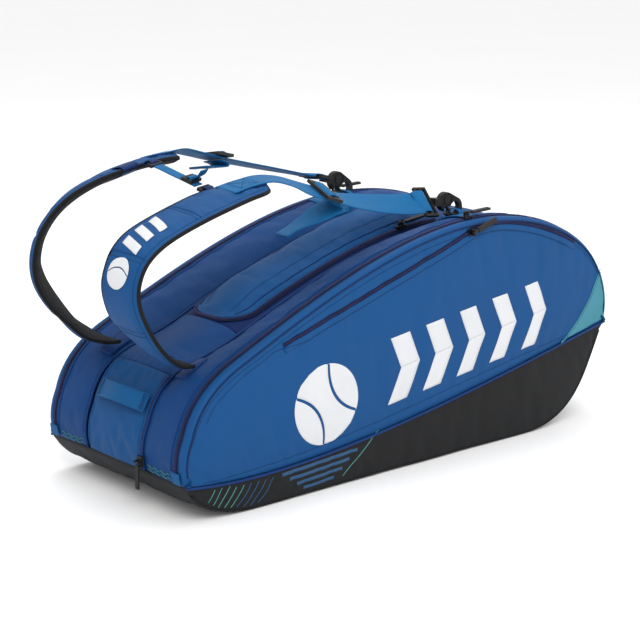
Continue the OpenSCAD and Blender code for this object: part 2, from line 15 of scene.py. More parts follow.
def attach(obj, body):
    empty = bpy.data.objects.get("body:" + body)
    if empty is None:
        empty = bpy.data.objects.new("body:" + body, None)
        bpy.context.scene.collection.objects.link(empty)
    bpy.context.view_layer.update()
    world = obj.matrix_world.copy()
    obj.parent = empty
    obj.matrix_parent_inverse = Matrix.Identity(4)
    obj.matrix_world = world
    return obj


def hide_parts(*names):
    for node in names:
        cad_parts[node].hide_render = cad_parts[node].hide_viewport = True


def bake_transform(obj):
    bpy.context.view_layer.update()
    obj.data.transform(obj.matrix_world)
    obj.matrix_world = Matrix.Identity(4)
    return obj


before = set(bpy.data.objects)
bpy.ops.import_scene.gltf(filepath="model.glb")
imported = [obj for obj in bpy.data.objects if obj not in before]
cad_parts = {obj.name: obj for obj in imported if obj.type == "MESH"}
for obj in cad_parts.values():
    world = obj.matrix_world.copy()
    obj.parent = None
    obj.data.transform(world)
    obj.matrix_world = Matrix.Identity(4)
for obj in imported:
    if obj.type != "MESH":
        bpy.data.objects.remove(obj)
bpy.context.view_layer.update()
scene = bpy.context.scene
MM = 0.001
SIDES = (("front", 1), ("rear", -1))


def add_object(name, data):
    obj = bpy.data.objects.new(name, data)
    scene.collection.objects.link(obj)
    return obj


def mesh_of(name, verts, faces):
    mesh = bpy.data.meshes.new(name)
    mesh.from_pydata([tuple(v) for v in verts], [], [tuple(f) for f in faces])
    return mesh


def smooth(mesh):
    mesh.polygons.foreach_set("use_smooth", [True] * len(mesh.polygons))


def unit(v, least=1e-12):
    """Vectors along the last axis, made one long."""
    return v / np.maximum(np.linalg.norm(v, axis=-1, keepdims=True), least)


def lengths(points):
    """The distance along a polyline, at each of its points."""
    return np.concatenate([[0], np.cumsum(np.linalg.norm(np.diff(points, axis=0), axis=1))])


def sample(points, run, at):
    """The points of a polyline with those lengths, at other lengths."""
    return np.stack([np.interp(at, run, points[:, c]) for c in range(points.shape[1])], -1)


# ---- camera, light and floor ------------------------------------------------


def camera():
    azimuth, elevation, roll = math.radians(-41.8), math.radians(13.9), math.radians(0.76)
    target, distance = Vector((-0.041, 0, 0.174)), 2.47
    back = Vector((
        math.sin(azimuth) * math.cos(elevation),
        -math.cos(azimuth) * math.cos(elevation),
        math.sin(elevation),
    ))
    right = Vector((math.cos(azimuth), math.sin(azimuth), 0))
    up = back.cross(right)
    right, up = (
        math.cos(roll) * right + math.sin(roll) * up,
        math.cos(roll) * up - math.sin(roll) * right,
    )
    data = bpy.data.cameras.new("camera")
    data.sensor_width, data.lens = 36, 105.2
    data.clip_start, data.clip_end = 0.05, 200
    cam = add_object("camera", data)
    cam.matrix_world = Matrix.Translation(target + back * distance) @ Matrix(
        (right, up, back)
    ).transposed().to_4x4()
    scene.camera = cam


def area_light(name, place, aim, size, power, tint):
    data = bpy.data.lights.new(name, "AREA")
    data.shape, data.size, data.energy, data.color = "DISK", size, power, tint
    lamp = add_object(name, data)
    lamp.location = place
    lamp.rotation_euler = (Vector(aim) - Vector(place)).to_track_quat("-Z", "Y").to_euler()


def studio():
    world = bpy.data.worlds.new("studio")
    world.use_nodes = True
    background = world.node_tree.nodes["Background"]
    background.inputs["Color"].default_value = (1, 1, 1, 1)
    background.inputs["Strength"].default_value = 1.0
    scene.world = world
    scene.view_settings.view_transform = "Standard"
    area_light("key", (-1.5, -1.9, 2.3), (-0.05, 0, 0.15), 1.6, 42, (1, 0.99, 0.97))
    area_light("fill", (1.8, -2.0, 1.2), (0.05, 0, 0.15), 2.0, 16, (0.97, 0.98, 1))
    area_light("top", (0.1, 0.6, 2.6), (0, 0, 0.2), 1.8, 24, (1, 1, 1))
    reach = 60
    corners = [(x * reach, y * reach, 0) for x, y in ((-1, -1), (1, -1), (1, 1), (-1, 1))]
    mesh = mesh_of("floor", corners, [(0, 1, 2, 3)])
    floor = add_object("floor", mesh)
    m = Graph("floor_pale")
    m.shader(m.mix(m.noise(2.0), (0.90, 0.90, 0.90), (0.93, 0.93, 0.93)), 0.85)
    mesh.materials.append(m.material)


# ---- materials --------------------------------------------------------------


class Graph:
    """A small builder for one node material."""

    def __init__(self, name):
        self.material = bpy.data.materials.new(name)
        self.material.use_nodes = True
        self.tree = self.material.node_tree
        self.tree.nodes.clear()
        self.coords = self.tree.nodes.new("ShaderNodeTexCoord")

    def node(self, kind, inputs=(), **settings):
        n = self.tree.nodes.new(kind)
        for key, value in settings.items():
            setattr(n, key, value)
        for key, value in dict(inputs).items():
            if isinstance(value, bpy.types.NodeSocket):
                self.tree.links.new(value, n.inputs[key])
            else:
                n.inputs[key].default_value = value
        return n

    def noise(self, scale, detail=3.0, stretch=(1, 1, 1)):
        place = self.node("ShaderNodeMapping", {"Vector": self.coords.outputs["Object"],
                                                "Scale": stretch})
        return self.node("ShaderNodeTexNoise", {"Vector": place.outputs[0], "Scale": scale,
                                                "Detail": detail}).outputs["Fac"]

    def wave(self, period, axis):
        """0 to 1 along one axis of the cloth, with that period in metres."""
        return self.node("ShaderNodeTexWave", {"Vector": self.coords.outputs["UV"], "Scale": 2
                                               * math.pi / (20 * period)}, wave_type="BANDS",
                         bands_direction=axis).outputs["Fac"]

    def math(self, operation, a, b):
        return self.node("ShaderNodeMath", {0: a, 1: b}, operation=operation).outputs[0]

    def mix(self, factor, a, b):
        rgba = lambda c: c if isinstance(c, bpy.types.NodeSocket) else (*c, 1)
        n = self.node("ShaderNodeMix", {0: factor}, data_type="RGBA")
        for index, colour in ((6, a), (7, b)):
            value = rgba(colour)
            if isinstance(value, bpy.types.NodeSocket):
                self.tree.links.new(value, n.inputs[index])
            else:
                n.inputs[index].default_value = value
        return n.outputs[2]

    def spread(self, value, low, high):
        """A 0 to 1 value, mapped to the range low to high."""
        return self.node("ShaderNodeMapRange", {"Value": value, "To Min": low,
                                                "To Max": high}).outputs[0]

    def bump(self, height, distance, strength=1.0, normal=None):
        inputs = {"Height": height, "Distance": distance, "Strength": strength}
        if normal is not None:
            inputs["Normal"] = normal
        return self.node("ShaderNodeBump", inputs).outputs[0]

    def shader(self, colour, roughness, normal=None, metallic=0.0, sheen=0.0, specular=0.5,
               sheen_tint=(1, 1, 1)):
        if not isinstance(colour, bpy.types.NodeSocket):
            colour = (*colour, 1)
        inputs = {"Base Color": colour, "Roughness": roughness, "Metallic": metallic,
                  "Sheen Weight": sheen, "Sheen Roughness": 0.45, "Sheen Tint": (*sheen_tint, 1),
                  "Specular IOR Level": specular, "Coat Roughness": 0.3}
        if normal is not None:
            inputs["Normal"] = normal
        out = self.node("ShaderNodeOutputMaterial")
        bsdf = self.node("ShaderNodeBsdfPrincipled", inputs)
        self.tree.links.new(bsdf.outputs[0], out.inputs[0])
        return self.material


def shade(colour, factor):
    return tuple(c * factor for c in colour)


def cloth_material(name, colour, pitch=0.9, rough=0.6, sheen=0.02, relief=0.12, variation=0.1):
    """Woven cloth: threads both ways at that pitch in mm, soft blotches of tone and fuzz."""
    g = Graph(name)
    weave = g.math("MULTIPLY", g.wave(pitch * MM, "X"), g.wave(pitch * MM, "Y"))
    blotch = g.noise(9.0, detail=4)
    fuzz = g.noise(700.0, detail=2)
    tone = g.mix(blotch, shade(colour, 1 - variation), shade(colour, 1 + variation))
    tone = g.mix(g.spread(weave, 0.0, 0.22), tone, shade(colour, 0.72))
    tone = g.mix(g.spread(fuzz, 0.0, 0.12), tone, shade(colour, 1.5))
    height = g.math("ADD", weave, g.math("MULTIPLY", fuzz, 0.5))
    creases = g.bump(g.noise(22.0), 0.0012, 0.5)
    normal = g.bump(height, relief * MM, 0.8, creases)
    return g.shader(tone, g.spread(blotch, rough - 0.07, rough + 0.07), normal, sheen=sheen,
                    sheen_tint=(0.5, 0.7, 1), specular=0.13)


def webbing_material(name, colour, rib=2.1):
    """Woven tape: ribs along its length, crossed by fine picks, with paler blotches."""
    g = Graph(name)
    ribs = g.wave(rib * MM, "Y")
    picks = g.wave(0.8 * MM, "X")
    height = g.math("ADD", ribs, g.math("MULTIPLY", picks, 0.6))
    blotch = g.noise(30.0)
    tone = g.mix(g.spread(ribs, 0.0, 0.5), shade(colour, 0.74), shade(colour, 1.1))
    tone = g.mix(g.spread(blotch, 0.0, 0.3), tone, shade(colour, 1.25))
    normal = g.bump(height, 0.25 * MM, 0.7)
    return g.shader(tone, g.spread(blotch, 0.5, 0.66), normal, sheen=0.02, specular=0.14,
                    sheen_tint=(0.5, 0.7, 1))


def mesh_material(name, colour):
    """Spacer mesh: rows of small dark holes in a knitted face."""
    g = Graph(name)
    cells = g.node("ShaderNodeTexVoronoi", {"Vector": g.coords.outputs["UV"], "Scale": 330.0,
                                            "Randomness": 0.12}, feature="F1")
    hole = g.node("ShaderNodeMapRange", {"Value": cells.outputs["Distance"], "From Min": 0.18,
                                         "From Max": 0.5}).outputs[0]
    tone = g.mix(hole, shade(colour, 0.25), shade(colour, 1.6))
    normal = g.bump(hole, 0.7 * MM, 0.9)
    return g.shader(tone, g.spread(g.noise(60.0), 0.75, 0.9), normal, specular=0.2)


def plastic_material(name, colour, rough=0.4):
    """Moulded plastic: a fine spark-eroded grain, with sharp edges made brighter in patches as a
    painted highlight.
    """
    g = Graph(name)
    grain = g.noise(1400.0, detail=2)
    wear = g.noise(45.0, detail=5)
    point = g.node("ShaderNodeNewGeometry").outputs["Pointiness"]
    edge = g.node("ShaderNodeMapRange", {"Value": point, "From Min": 0.52,
                                         "From Max": 0.62}).outputs[0]
    tone = g.mix(wear, shade(colour, 0.8), shade(colour, 1.35))
    # painted highlight: convex edges (by pointiness) made brighter, broken into patches by the noise
    tone = g.mix(g.math("MULTIPLY", edge, wear), tone, shade(colour, 3.2))
    normal = g.bump(grain, 0.05 * MM, 0.6)
    return g.shader(tone, g.spread(wear, rough - 0.1, rough + 0.12), normal, specular=0.22)


def metal_material(name, colour):
    """Painted die-cast metal with a worn, slightly brushed face."""
    g = Graph(name)
    wear = g.noise(60.0, detail=5)
    brush = g.noise(400.0, detail=2, stretch=(0.1, 1, 1))
    tone = g.mix(wear, shade(colour, 0.7), shade(colour, 1.5))
    return g.shader(tone, g.spread(wear, 0.26, 0.46), g.bump(brush, 0.04 * MM, 0.5),
                    metallic=0.85)


def print_material(name, colour, dirt=0.05):
    """Rubbery transfer print that lets the weave show through."""
    g = Graph(name)
    weave = g.math("MULTIPLY", g.wave(0.9 * MM, "X"), g.wave(0.9 * MM, "Y"))
    blotch = g.noise(24.0, detail=4)
    tone = g.mix(blotch, shade(colour, 1 - dirt), shade(colour, 1 + dirt))
    normal = g.bump(g.math("ADD", weave, g.noise(900.0)), 0.06 * MM, 0.6)
    return g.shader(tone, g.spread(blotch, 0.46, 0.6), normal, specular=0.4)


def board_material(name, colour):
    g = Graph(name)
    grain = g.noise(300.0, detail=4, stretch=(0.2, 1, 1))
    tone = g.mix(grain, shade(colour, 0.7), shade(colour, 1.4))
    return g.shader(tone, g.spread(grain, 0.55, 0.8), g.bump(grain, 0.1 * MM, 0.5))


BLUE = (0.0032, 0.056, 0.181)
MATERIALS = {
    "body": cloth_material("body_cloth", BLUE, rough=0.56),
    # top: the body blue darkened, as painted shade on the gussets, crown and tail top
    "top": cloth_material("top_cloth", (0.0028, 0.039, 0.148), rough=0.56),
    # valley cloth: the blue darkened well below the body, as painted shade for the strips down in the
    # valley beside the lid
    "deep": cloth_material("valley_cloth_painted_shade", (0.0018, 0.014, 0.078), rough=0.62),
    "lower": cloth_material("lower_cloth", (0.0100, 0.0100, 0.0104), pitch=1.1, rough=0.6,
                            relief=0.18),
    "light": cloth_material("light_cloth", (0.048, 0.205, 0.265), rough=0.55),
    "lining": cloth_material("lining_cloth", (0.030, 0.034, 0.041), pitch=1.4, rough=0.7,
                             relief=0.2),
    "webbing": webbing_material("webbing", (0.0020, 0.112, 0.290)),
    "webbing_dark": webbing_material("webbing_dark", (0.0030, 0.022, 0.105)),
    "handle": webbing_material("webbing_handle", (0.0025, 0.080, 0.230)),
    "mesh": mesh_material("spacer_mesh", (0.007, 0.007, 0.008)),
    "binding": webbing_material("binding_tape", (0.006, 0.006, 0.007), rib=1.4),
    "piping": cloth_material("piping_cloth", (0.0025, 0.028, 0.125), pitch=0.7, rough=0.5),
    "tape": webbing_material("zip_tape", (0.005, 0.010, 0.045), rib=1.3),
    "coil": plastic_material("zip_coil", (0.014, 0.014, 0.046), rough=0.38),
    "thread": cloth_material("thread", (0.003, 0.018, 0.080), pitch=0.5, rough=0.6),
    "thread_black": cloth_material("thread_black", (0.012, 0.012, 0.013), pitch=0.5, rough=0.6),
    "thread_pale": cloth_material("thread_pale", (0.008, 0.060, 0.190), pitch=0.5, rough=0.6),
    "hardware": plastic_material("moulded_plastic", (0.0055, 0.0055, 0.0052), rough=0.46),
    "metal": metal_material("slider_metal", (0.022, 0.022, 0.026)),
    "puller": plastic_material("puller_rubber", (0.0050, 0.0050, 0.0054), rough=0.52),
    "board": board_material("board", (0.014, 0.014, 0.015)),
    "white": print_material("white_print", (0.56, 0.57, 0.59)),
    "blue_print": print_material("blue_print", (0.0030, 0.052, 0.140)),
    "mint_print": print_material("mint_print", (0.040, 0.200, 0.180)),
}

# ---- curves of the body -----------------------------------------------------

RIM = [
    (5, (-372, 50), (-380, 70), (-376, 92), (-368, 108)),
    (6, (-368, 108), (-360, 140), (-336, 166), (-300, 184)),
    (18, (-300, 184), (-180, 240), (-20, 312), (120, 312)),
    (11, (120, 312), (220, 312), (318, 278), (356, 218)),
    (6, (356, 218), (370, 196), (380, 165), (372, 137)),
]
SEAM = ((-372, 50), (-200, 22), (90, 78), (372, 137))
LOWER = [
    ((372, 136.2), (342, 72), (322, 0), (215, 0)),
    ((215, 0), (55, 0), (-105, 0), (-265, 0)),
    ((-265, 0), (-330, 0), (-360, 20), (-372, 49.2)),
]
RIM_END, DOOR_TOP, TAB_START, CORNER_TOP, LID_START, LID_END = 46, 9, 9, 11, 14, 29
HALF_WIDTH, SEAM_Y, ZIP_Y = 0.140, 0.060, 0.124
VALLEY = 0.020
# thicknesses in metres
WEB_THICK, FREE_THICK, LOOP_THICK = 0.0016, 0.0014, 0.0012
TOP_CLOTH, TAPE_THICK, COVER_TAPE_THICK = 0.0026, 0.0005, 0.0004
PRINT_THICK, THIN_PRINT = 0.0004, 0.0003
TAB_LIFT = 0.0032  # of tabs over a gusset's padding
INSIDE = np.array([0.0, 0.0, 0.12])


def bezier(points, t):
    a, b, c, d = (np.array(q, float) * MM for q in points)
    t = np.asarray(t, float)[..., None]
    u = 1 - t
    return u**3 * a + 3 * u * u * t * b + 3 * u * t * t * c + t**3 * d


def ramp(x, a, b):
    t = np.clip((np.asarray(x, float) - a) / (b - a), 0, 1)
    return t * t * (3 - 2 * t)


def rim_at(s):
    """(x, z) of the rim at place s, counted as the CAD model counts it, 0 at the tail."""
    s = np.asarray(s, float)
    out = np.zeros(s.shape + (2,))
    start = 0
    for count, *points in RIM:
        inside = (s >= start) | (start == 0)
        out[inside] = bezier(points, np.clip((s[inside] - start) / count, 0, 1.02))
        start += count
    return out


def rim_inward(s):
    t = rim_at(np.clip(np.asarray(s, float) + 0.05, 0, RIM_END)) - rim_at(
        np.clip(np.asarray(s, float) - 0.05, 0, RIM_END))
    t = unit(t)
    return np.stack([t[..., 1], -t[..., 0]], -1)


def rim_inset(s, depth):
    """(x, z) at a depth below the rim."""
    return rim_at(s) + rim_inward(s) * np.asarray(depth)[..., None]


FINE = np.linspace(0, RIM_END, 1200)
FINE_LENGTH = lengths(rim_at(FINE))
RIM_LENGTH = FINE_LENGTH[-1]


def place_at(length):
    return np.interp(length, FINE_LENGTH, FINE)


def length_at(s):
    return np.interp(s, FINE, FINE_LENGTH)


def valley(s):
    return VALLEY * (0.08 + 0.92 * ramp(s, 7, LID_START) - 0.4 * ramp(s, 30, 38))


def on_top(s, y, depth):
    """Points over the top of the bag: s, y and depth below the rim, as arrays of one shape."""
    s, y, depth = np.broadcast_arrays(np.asarray(s, float), y, depth)
    q = rim_inset(s, depth)
    return np.stack([q[..., 0], y, q[..., 1]], -1)


def along_y(rows, y):
    """A smooth curve through [y, value] rows."""
    x, v = (np.array(c, float) for c in zip(*rows))
    x = x * MM
    slope = np.gradient(v, x)
    y = np.clip(y, x[0], x[-1])
    k = np.clip(np.searchsorted(x, y) - 1, 0, len(x) - 2)
    h = x[k + 1] - x[k]
    t = (y - x[k]) / h
    return ((2 * t**3 - 3 * t**2 + 1) * v[k] + (t**3 - 2 * t**2 + t) * h * slope[k]
            + (3 * t**2 - 2 * t**3) * v[k + 1] + (t**3 - t**2) * h * slope[k + 1])


# ---- meshes from grids ------------------------------------------------------


def outward(grid, centre=INSIDE):
    """Unit normals of a grid of points, on the side away from centre."""
    normal = np.cross(np.gradient(grid, axis=0), np.gradient(grid, axis=1))
    normal = unit(normal)
    return normal * (1 if (normal * (grid - centre)).sum() > 0 else -1)


def grid_faces(nu, nv, start=0):
    i, j = np.meshgrid(np.arange(nu - 1), np.arange(nv - 1), indexing="ij")
    a = start + i * nv + j
    return np.stack([a, a + nv, a + nv + 1, a + 1], -1).reshape(-1, 4)


def arc_uv(grid):
    """Lengths along both directions of a grid, in metres, as texture coordinates."""
    du = np.linalg.norm(np.diff(grid, axis=0), axis=-1).mean(1)
    dv = np.linalg.norm(np.diff(grid, axis=1), axis=-1)
    u = np.concatenate([[0], np.cumsum(du)])
    v = np.concatenate([np.zeros((len(grid), 1)), np.cumsum(dv, axis=1)], 1)
    v = v - v[:, -1:] / 2
    return np.stack([np.broadcast_to(u[:, None], v.shape), v], -1)


def make(name, verts, faces, uv, material):
    """A smooth-shaded object, with duplicate points merged and faces turned outward."""
    mesh = mesh_of(name, verts, faces)
    layer = mesh.uv_layers.new(name="UVMap")
    index = np.zeros(len(mesh.loops), np.int32)
    mesh.loops.foreach_get("vertex_index", index)
    layer.data.foreach_set("uv", np.asarray(uv, np.float32)[index].ravel())
    bm = bmesh.new()
    bm.from_mesh(mesh)
    bmesh.ops.remove_doubles(bm, verts=bm.verts, dist=2e-5)
    bmesh.ops.dissolve_degenerate(bm, edges=bm.edges, dist=1e-6)
    bmesh.ops.recalc_face_normals(bm, faces=bm.faces)
    bm.to_mesh(mesh)
    bm.free()
    smooth(mesh)
    mesh.materials.append(MATERIALS[material])
    return add_object(name, mesh)


def border(nu, nv):
    """The indices round a grid's border, and for each the next one inside it."""
    at = lambda i, j: i * nv + j
    loop = [(at(i, 0), at(i, 1)) for i in range(nu - 1)]
    loop += [(at(nu - 1, j), at(nu - 2, j)) for j in range(nv - 1)]
    loop += [(at(i, nv - 1), at(i, nv - 2)) for i in range(nu - 1, 0, -1)]
    loop += [(at(0, j), at(1, j)) for j in range(nv - 1, 0, -1)]
    return np.array(loop)


def shell(name, grid, thickness, material, centre=INSIDE, roll=0.4):
    """A closed sheet: the grid is its outer face, and its edge is rolled round."""
    nu, nv = grid.shape[:2]
    outer = grid.reshape(-1, 3)
    inner = (grid - outward(grid, centre) * thickness).reshape(-1, 3)
    loop = border(nu, nv)
    away = unit(outer[loop[:, 0]] - outer[loop[:, 1]], 1e-9)
    middle = (outer[loop[:, 0]] + inner[loop[:, 0]]) / 2 + away * thickness * roll
    n = nu * nv
    edge = np.arange(len(loop))
    nxt = (edge + 1) % len(loop)
    a, b = loop[edge, 0], loop[nxt, 0]
    faces = [grid_faces(nu, nv), grid_faces(nu, nv, n),
             np.stack([a, b, 2 * n + nxt, 2 * n + edge], -1),
             np.stack([2 * n + edge, 2 * n + nxt, n + b, n + a], -1)]
    uv = arc_uv(grid).reshape(-1, 2)
    return make(name, np.concatenate([outer, inner, middle]), np.concatenate(faces),
                np.concatenate([uv, uv, uv[loop[:, 0]]]), material)


def loft(name, rings, material):
    """A closed tube through rings of points, with its ends closed by fans."""
    rings = np.asarray(rings, float)
    n, m = rings.shape[:2]
    i, j = np.meshgrid(np.arange(n - 1), np.arange(m), indexing="ij")
    a, b = i * m + j, i * m + (j + 1) % m
    faces = [tuple(f) for f in np.stack([a, b, b + m, a + m], -1).reshape(-1, 4)]
    verts = np.concatenate([rings.reshape(-1, 3), rings[0].mean(0)[None], rings[-1].mean(0)[None]])
    for end, centre in ((0, n * m), ((n - 1) * m, n * m + 1)):
        faces += [(end + k, end + (k + 1) % m, centre) for k in range(m)]
    run, girth = lengths(rings.mean(1)), lengths(rings[n // 2])
    uv = np.stack(np.broadcast_arrays(run[:, None], girth[None]), -1).reshape(-1, 2)
    return make(name, verts, faces, np.concatenate([uv, uv[:1], uv[-1:]]), material)


def spline(points, count):
    """Points with any number of values each, resampled on a smooth curve at even steps."""
    q = np.array(points, float)
    q = np.concatenate([[2 * q[0] - q[1]], q, [2 * q[-1] - q[-2]]])
    out = []
    for k in range(1, len(q) - 2):
        t = np.linspace(0, 1, 24, endpoint=False)[:, None]
        a, b, c, d = q[k - 1:k + 3]
        out.append(0.5 * (2 * b + (c - a) * t + (2 * a - 5 * b + 4 * c - d) * t**2
                          + (3 * b - a - 3 * c + d) * t**3))
    out = np.concatenate(out + [q[-2][None]])
    run = lengths(out[:, :3])
    return sample(out, run, np.linspace(0, run[-1], count))


def tube(name, path, radius, material, sides=8, flat=1.0):
    """A round cord along a path; flat below 1 squeezes it."""
    path = np.asarray(path, float)
    t = unit(np.gradient(path, axis=0))
    side = np.cross(t[0], [0, 1, 0] if abs(t[0][1]) < 0.9 else [0, 0, 1])
    rings = []
    for p, d in zip(path, t):
        side = side - d * (side @ d)
        side /= np.linalg.norm(side)
        up = np.cross(d, side)
        rings.append([p + radius * (math.cos(a) * side + flat * math.sin(a) * up)
                      for a in np.linspace(0, 2 * math.pi, sides, endpoint=False)])
    return loft(name, rings, material)


def join(name, parts):
    """One object from several, which all have the same body."""
    bpy.ops.object.select_all(action="DESELECT")
    for part in parts:
        part.select_set(True)
    bpy.context.view_layer.objects.active = parts[0]
    bpy.ops.object.join()
    parts[0].name = parts[0].data.name = name
    return parts[0]


def blocks(centres, along, across, up, size, material):
    """Many small rounded blocks: stitches or zip teeth, each size = (length, width, height)."""
    shape = np.array([(-1, 0, 0), (-0.6, 0.9, 0), (0.6, 0.9, 0), (1, 0, 0), (0.6, -0.9, 0),
                      (-0.6, -0.9, 0), (-0.5, 0, 1), (0.5, 0, 1)]) * (0.5, 0.55, 1)
    faces = [(0, 1, 6), (1, 2, 7, 6), (2, 3, 7), (3, 4, 7), (4, 5, 6, 7), (5, 0, 6),
             (0, 5, 4, 3, 2, 1)]
    axes = np.stack([along * size[0], across * size[1], up * size[2]], 1)
    verts = (centres[:, None] + np.einsum("vk,nkc->nvc", shape, axes)).reshape(-1, 3)
    all_faces = [[v + 8 * k for v in f] for k in range(len(centres)) for f in faces]
    mesh = mesh_of("blocks", verts, all_faces)
    mesh.uv_layers.new(name="UVMap")
    smooth(mesh)
    mesh.materials.append(MATERIALS[material])
    return add_object("blocks", mesh)


def run_along(path, up, pitch):
    """Centres, directions, cross directions and up directions at even steps along a path."""
    path, up = np.asarray(path, float), np.asarray(up, float)
    run = lengths(path)
    at = np.arange(pitch / 2, run[-1], pitch)
    pick = lambda v: sample(v, run, at)
    centre = pick(path)
    d = unit(pick(np.gradient(path, axis=0)))
    u = pick(up if up.ndim == 2 else np.broadcast_to(up, path.shape))
    u = unit(u - d * (u * d).sum(1, keepdims=True))
    return centre, d, np.cross(u, d), u


def stitching(path, up, material="thread", pitch=3.6, lift=0.15):
    centre, d, across, u = run_along(path, up, pitch * MM)
    return blocks(centre + u * lift * MM, d, across, u, (pitch * 0.72 * MM, 0.75 * MM, 0.45 * MM),
                  material)


def coil_row(path, up, side, pitch=1.5, width=2.1, height=1.1):
    """One side of a zip's coil: loops across the path, leaning a little."""
    centre, d, across, u = run_along(path, up, pitch * MM)
    lean = across + 0.25 * side * d
    return blocks(centre + across * side * width * 0.42 * MM, lean, d, u, (width * MM, pitch * 0.95
                                                                           * MM, height * MM),
                  "coil")


# ---- cloth ------------------------------------------------------------------


def settle(grid, held, push, cap, slack=0.004, frames=14, centre=INSIDE):
    """Cloth simulation of a grid that is sewn down where held is true: push inflates it,
    slack is its spare cloth, and no point moves more than cap."""
    nu, nv = grid.shape[:2]
    flip = (np.cross(np.gradient(grid, axis=0), np.gradient(grid, axis=1))
            * outward(grid, centre)).sum() < 0
    faces = grid_faces(nu, nv)
    if flip:
        faces = faces[:, ::-1]
    mesh = mesh_of("cloth", grid.reshape(-1, 3), faces)
    obj = add_object("cloth", mesh)
    group = obj.vertex_groups.new(name="sewn")
    group.add([int(k) for k in np.flatnonzero(held.ravel())], 1.0, "REPLACE")
    cloth = obj.modifiers.new("cloth", "CLOTH")
    s = cloth.settings
    s.quality, s.mass = 6, 0.3
    s.tension_stiffness = s.compression_stiffness = s.shear_stiffness = 18
    s.bending_stiffness = 4
    s.tension_damping = s.compression_damping = s.shear_damping = 15
    s.use_pressure, s.uniform_pressure_force = True, push
    s.vertex_group_mass, s.shrink_min = "sewn", -slack
    s.effector_weights.gravity = 0
    cloth.collision_settings.use_collision = False
    cloth.point_cache.frame_start, cloth.point_cache.frame_end = 1, frames
    for f in range(1, frames + 1):
        scene.frame_set(f)
    result = obj.evaluated_get(bpy.context.evaluated_depsgraph_get()).data
    co = np.zeros(nu * nv * 3, np.float32)
    result.vertices.foreach_get("co", co)
    scene.frame_set(1)
    bpy.data.objects.remove(obj)
    bpy.data.meshes.remove(mesh)
    move = co.reshape(grid.shape).astype(float) - grid
    move[~np.isfinite(move).all(-1)] = 0
    size = np.linalg.norm(move, axis=-1, keepdims=True)
    return grid + move * np.tanh(size / cap) * cap / np.maximum(size, 1e-9)


def rumple(grid, amount, scale, seed, centre=INSIDE):
    """Soft, slow waves along the normals, as foam-backed cloth has between its seams."""
    normal = outward(grid, centre)
    wave = np.array([noise.noise(Vector(p * scale + seed))
                     for p in grid.reshape(-1, 3)]).reshape(grid.shape[:2])
    return grid + normal * (wave * amount)[..., None]


def fade(nu, nv, width_u=4, width_v=4):
    """1 in the middle of a grid, falling smoothly to 0 at its border."""
    u = np.minimum(np.arange(nu), np.arange(nu)[::-1])[:, None]
    v = np.minimum(np.arange(nv), np.arange(nv)[::-1])[None]
    return ramp(u, 0, width_u) * ramp(v, 0, width_v)


def soften(grid, amount, scale, seed, width_u=4, width_v=4, **k):
    return grid + (rumple(grid, amount, scale, seed, **k) - grid) * fade(
        *grid.shape[:2], width_u, width_v)[..., None]


def edges_held(nu, nv, u=1, v=1):
    held = np.zeros((nu, nv), bool)
    held[:u] = held[-u:] = True
    held[:, :v] = held[:, -v:] = True
    return held


def mirror(grid):
    return np.asarray(grid) * (1, -1, 1)


# ---- placing ----------------------------------------------------------------


def put(obj, body, nodes=(), bend=False):
    """obj rides on the body, or with bend is left unparented with its transform baked, and stands for
    the CAD nodes.
    """
    if bend:
        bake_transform(obj)
    else:
        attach(obj, body)
    if nodes:
        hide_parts(*nodes)
    return obj


# ---- lower body -------------------------------------------------------------


def seam_at(t, lift=0.0):
    q = bezier(SEAM, t)
    d = bezier(SEAM, np.clip(np.asarray(t) + 0.01, 0, 1)) - bezier(
        SEAM, np.clip(np.asarray(t) - 0.01, 0, 1))
    d = unit(d)
    return q + np.stack([-d[..., 1], d[..., 0]], -1) * lift


def even(points, count):
    """A flat or solid polyline resampled at even steps."""
    points = np.asarray(points, float)
    run = lengths(points)
    return sample(points, run, np.linspace(0, run[-1], count))


def seam_line(count, lift=0.0):
    return even(seam_at(np.linspace(0, 1, 200), lift), count)


def lower_line(count):
    """The lower outline from the tail to the head, as (x, z)."""
    t = np.linspace(0, 1, 80)
    return even(np.concatenate([bezier(part, t) for part in LOWER])[::-1], count)


def solid(line, y):
    """(x, z) points put at y."""
    line = np.asarray(line)
    return np.stack([line[..., 0], np.broadcast_to(y, line.shape[:-1]), line[..., 1]], -1)


def lower_body():
    n, drop = 150, 16
    top, foot = seam_line(n, -0.0004), lower_line(n)
    reach = top - foot
    length = np.linalg.norm(reach, axis=1, keepdims=True)
    r = np.minimum(0.007, 0.45 * length)
    up = reach / np.maximum(length, 1e-6)
    side = [solid(top + (foot + up * r - top) * k, -HALF_WIDTH)
            for k in np.linspace(0, 1, drop)]
    corner = [solid(foot + up * r * (1 - math.sin(a)), -HALF_WIDTH + r[:, 0] * (1 - math.cos(a)))
              for a in np.radians((22, 45, 68, 90))]
    half = np.stack(side + corner, 1)
    edge = half[:, -1, 1]
    base = np.stack([solid(foot, edge * k) for k in np.linspace(0.93, -0.93, 27)], 1)
    grid = np.concatenate([half, base, mirror(half)[:, ::-1]], 1)
    held = edges_held(*grid.shape[:2], 2, 1)
    held[:, drop:drop + 4] = held[:, -drop - 4:-drop] = True
    held |= grid[..., 2] < 0.0015
    grid = settle(grid, held, 2.5, 0.003)
    grid = soften(grid, 0.0012, 11, 5, 3, 3)
    grid[..., 2] = np.maximum(grid[..., 2], 0.0)
    shell_ = shell("lower_body", grid, 0.003, "lower")
    put(shell_, "bag", ("base_panel", "front_lower_panel", "rear_lower_panel"))
    edging = []
    for name, sign in SIDES:
        line = grid[3:-3, drop + 1] if sign > 0 else grid[3:-3, -drop - 2]
        out = line + (0, -0.0006 * sign, 0)
        edging.append(tube(name + "_base_piping", out + (0, 0, 0.0012), 0.0017, "binding", 6))
        edging.append(stitching(line + (0, -0.0002 * sign, 0.005), (0, -sign, 0), "thread_black",
                                4.2))
    put(join("base_piping", edging), "bag")
    return grid[:, :drop]


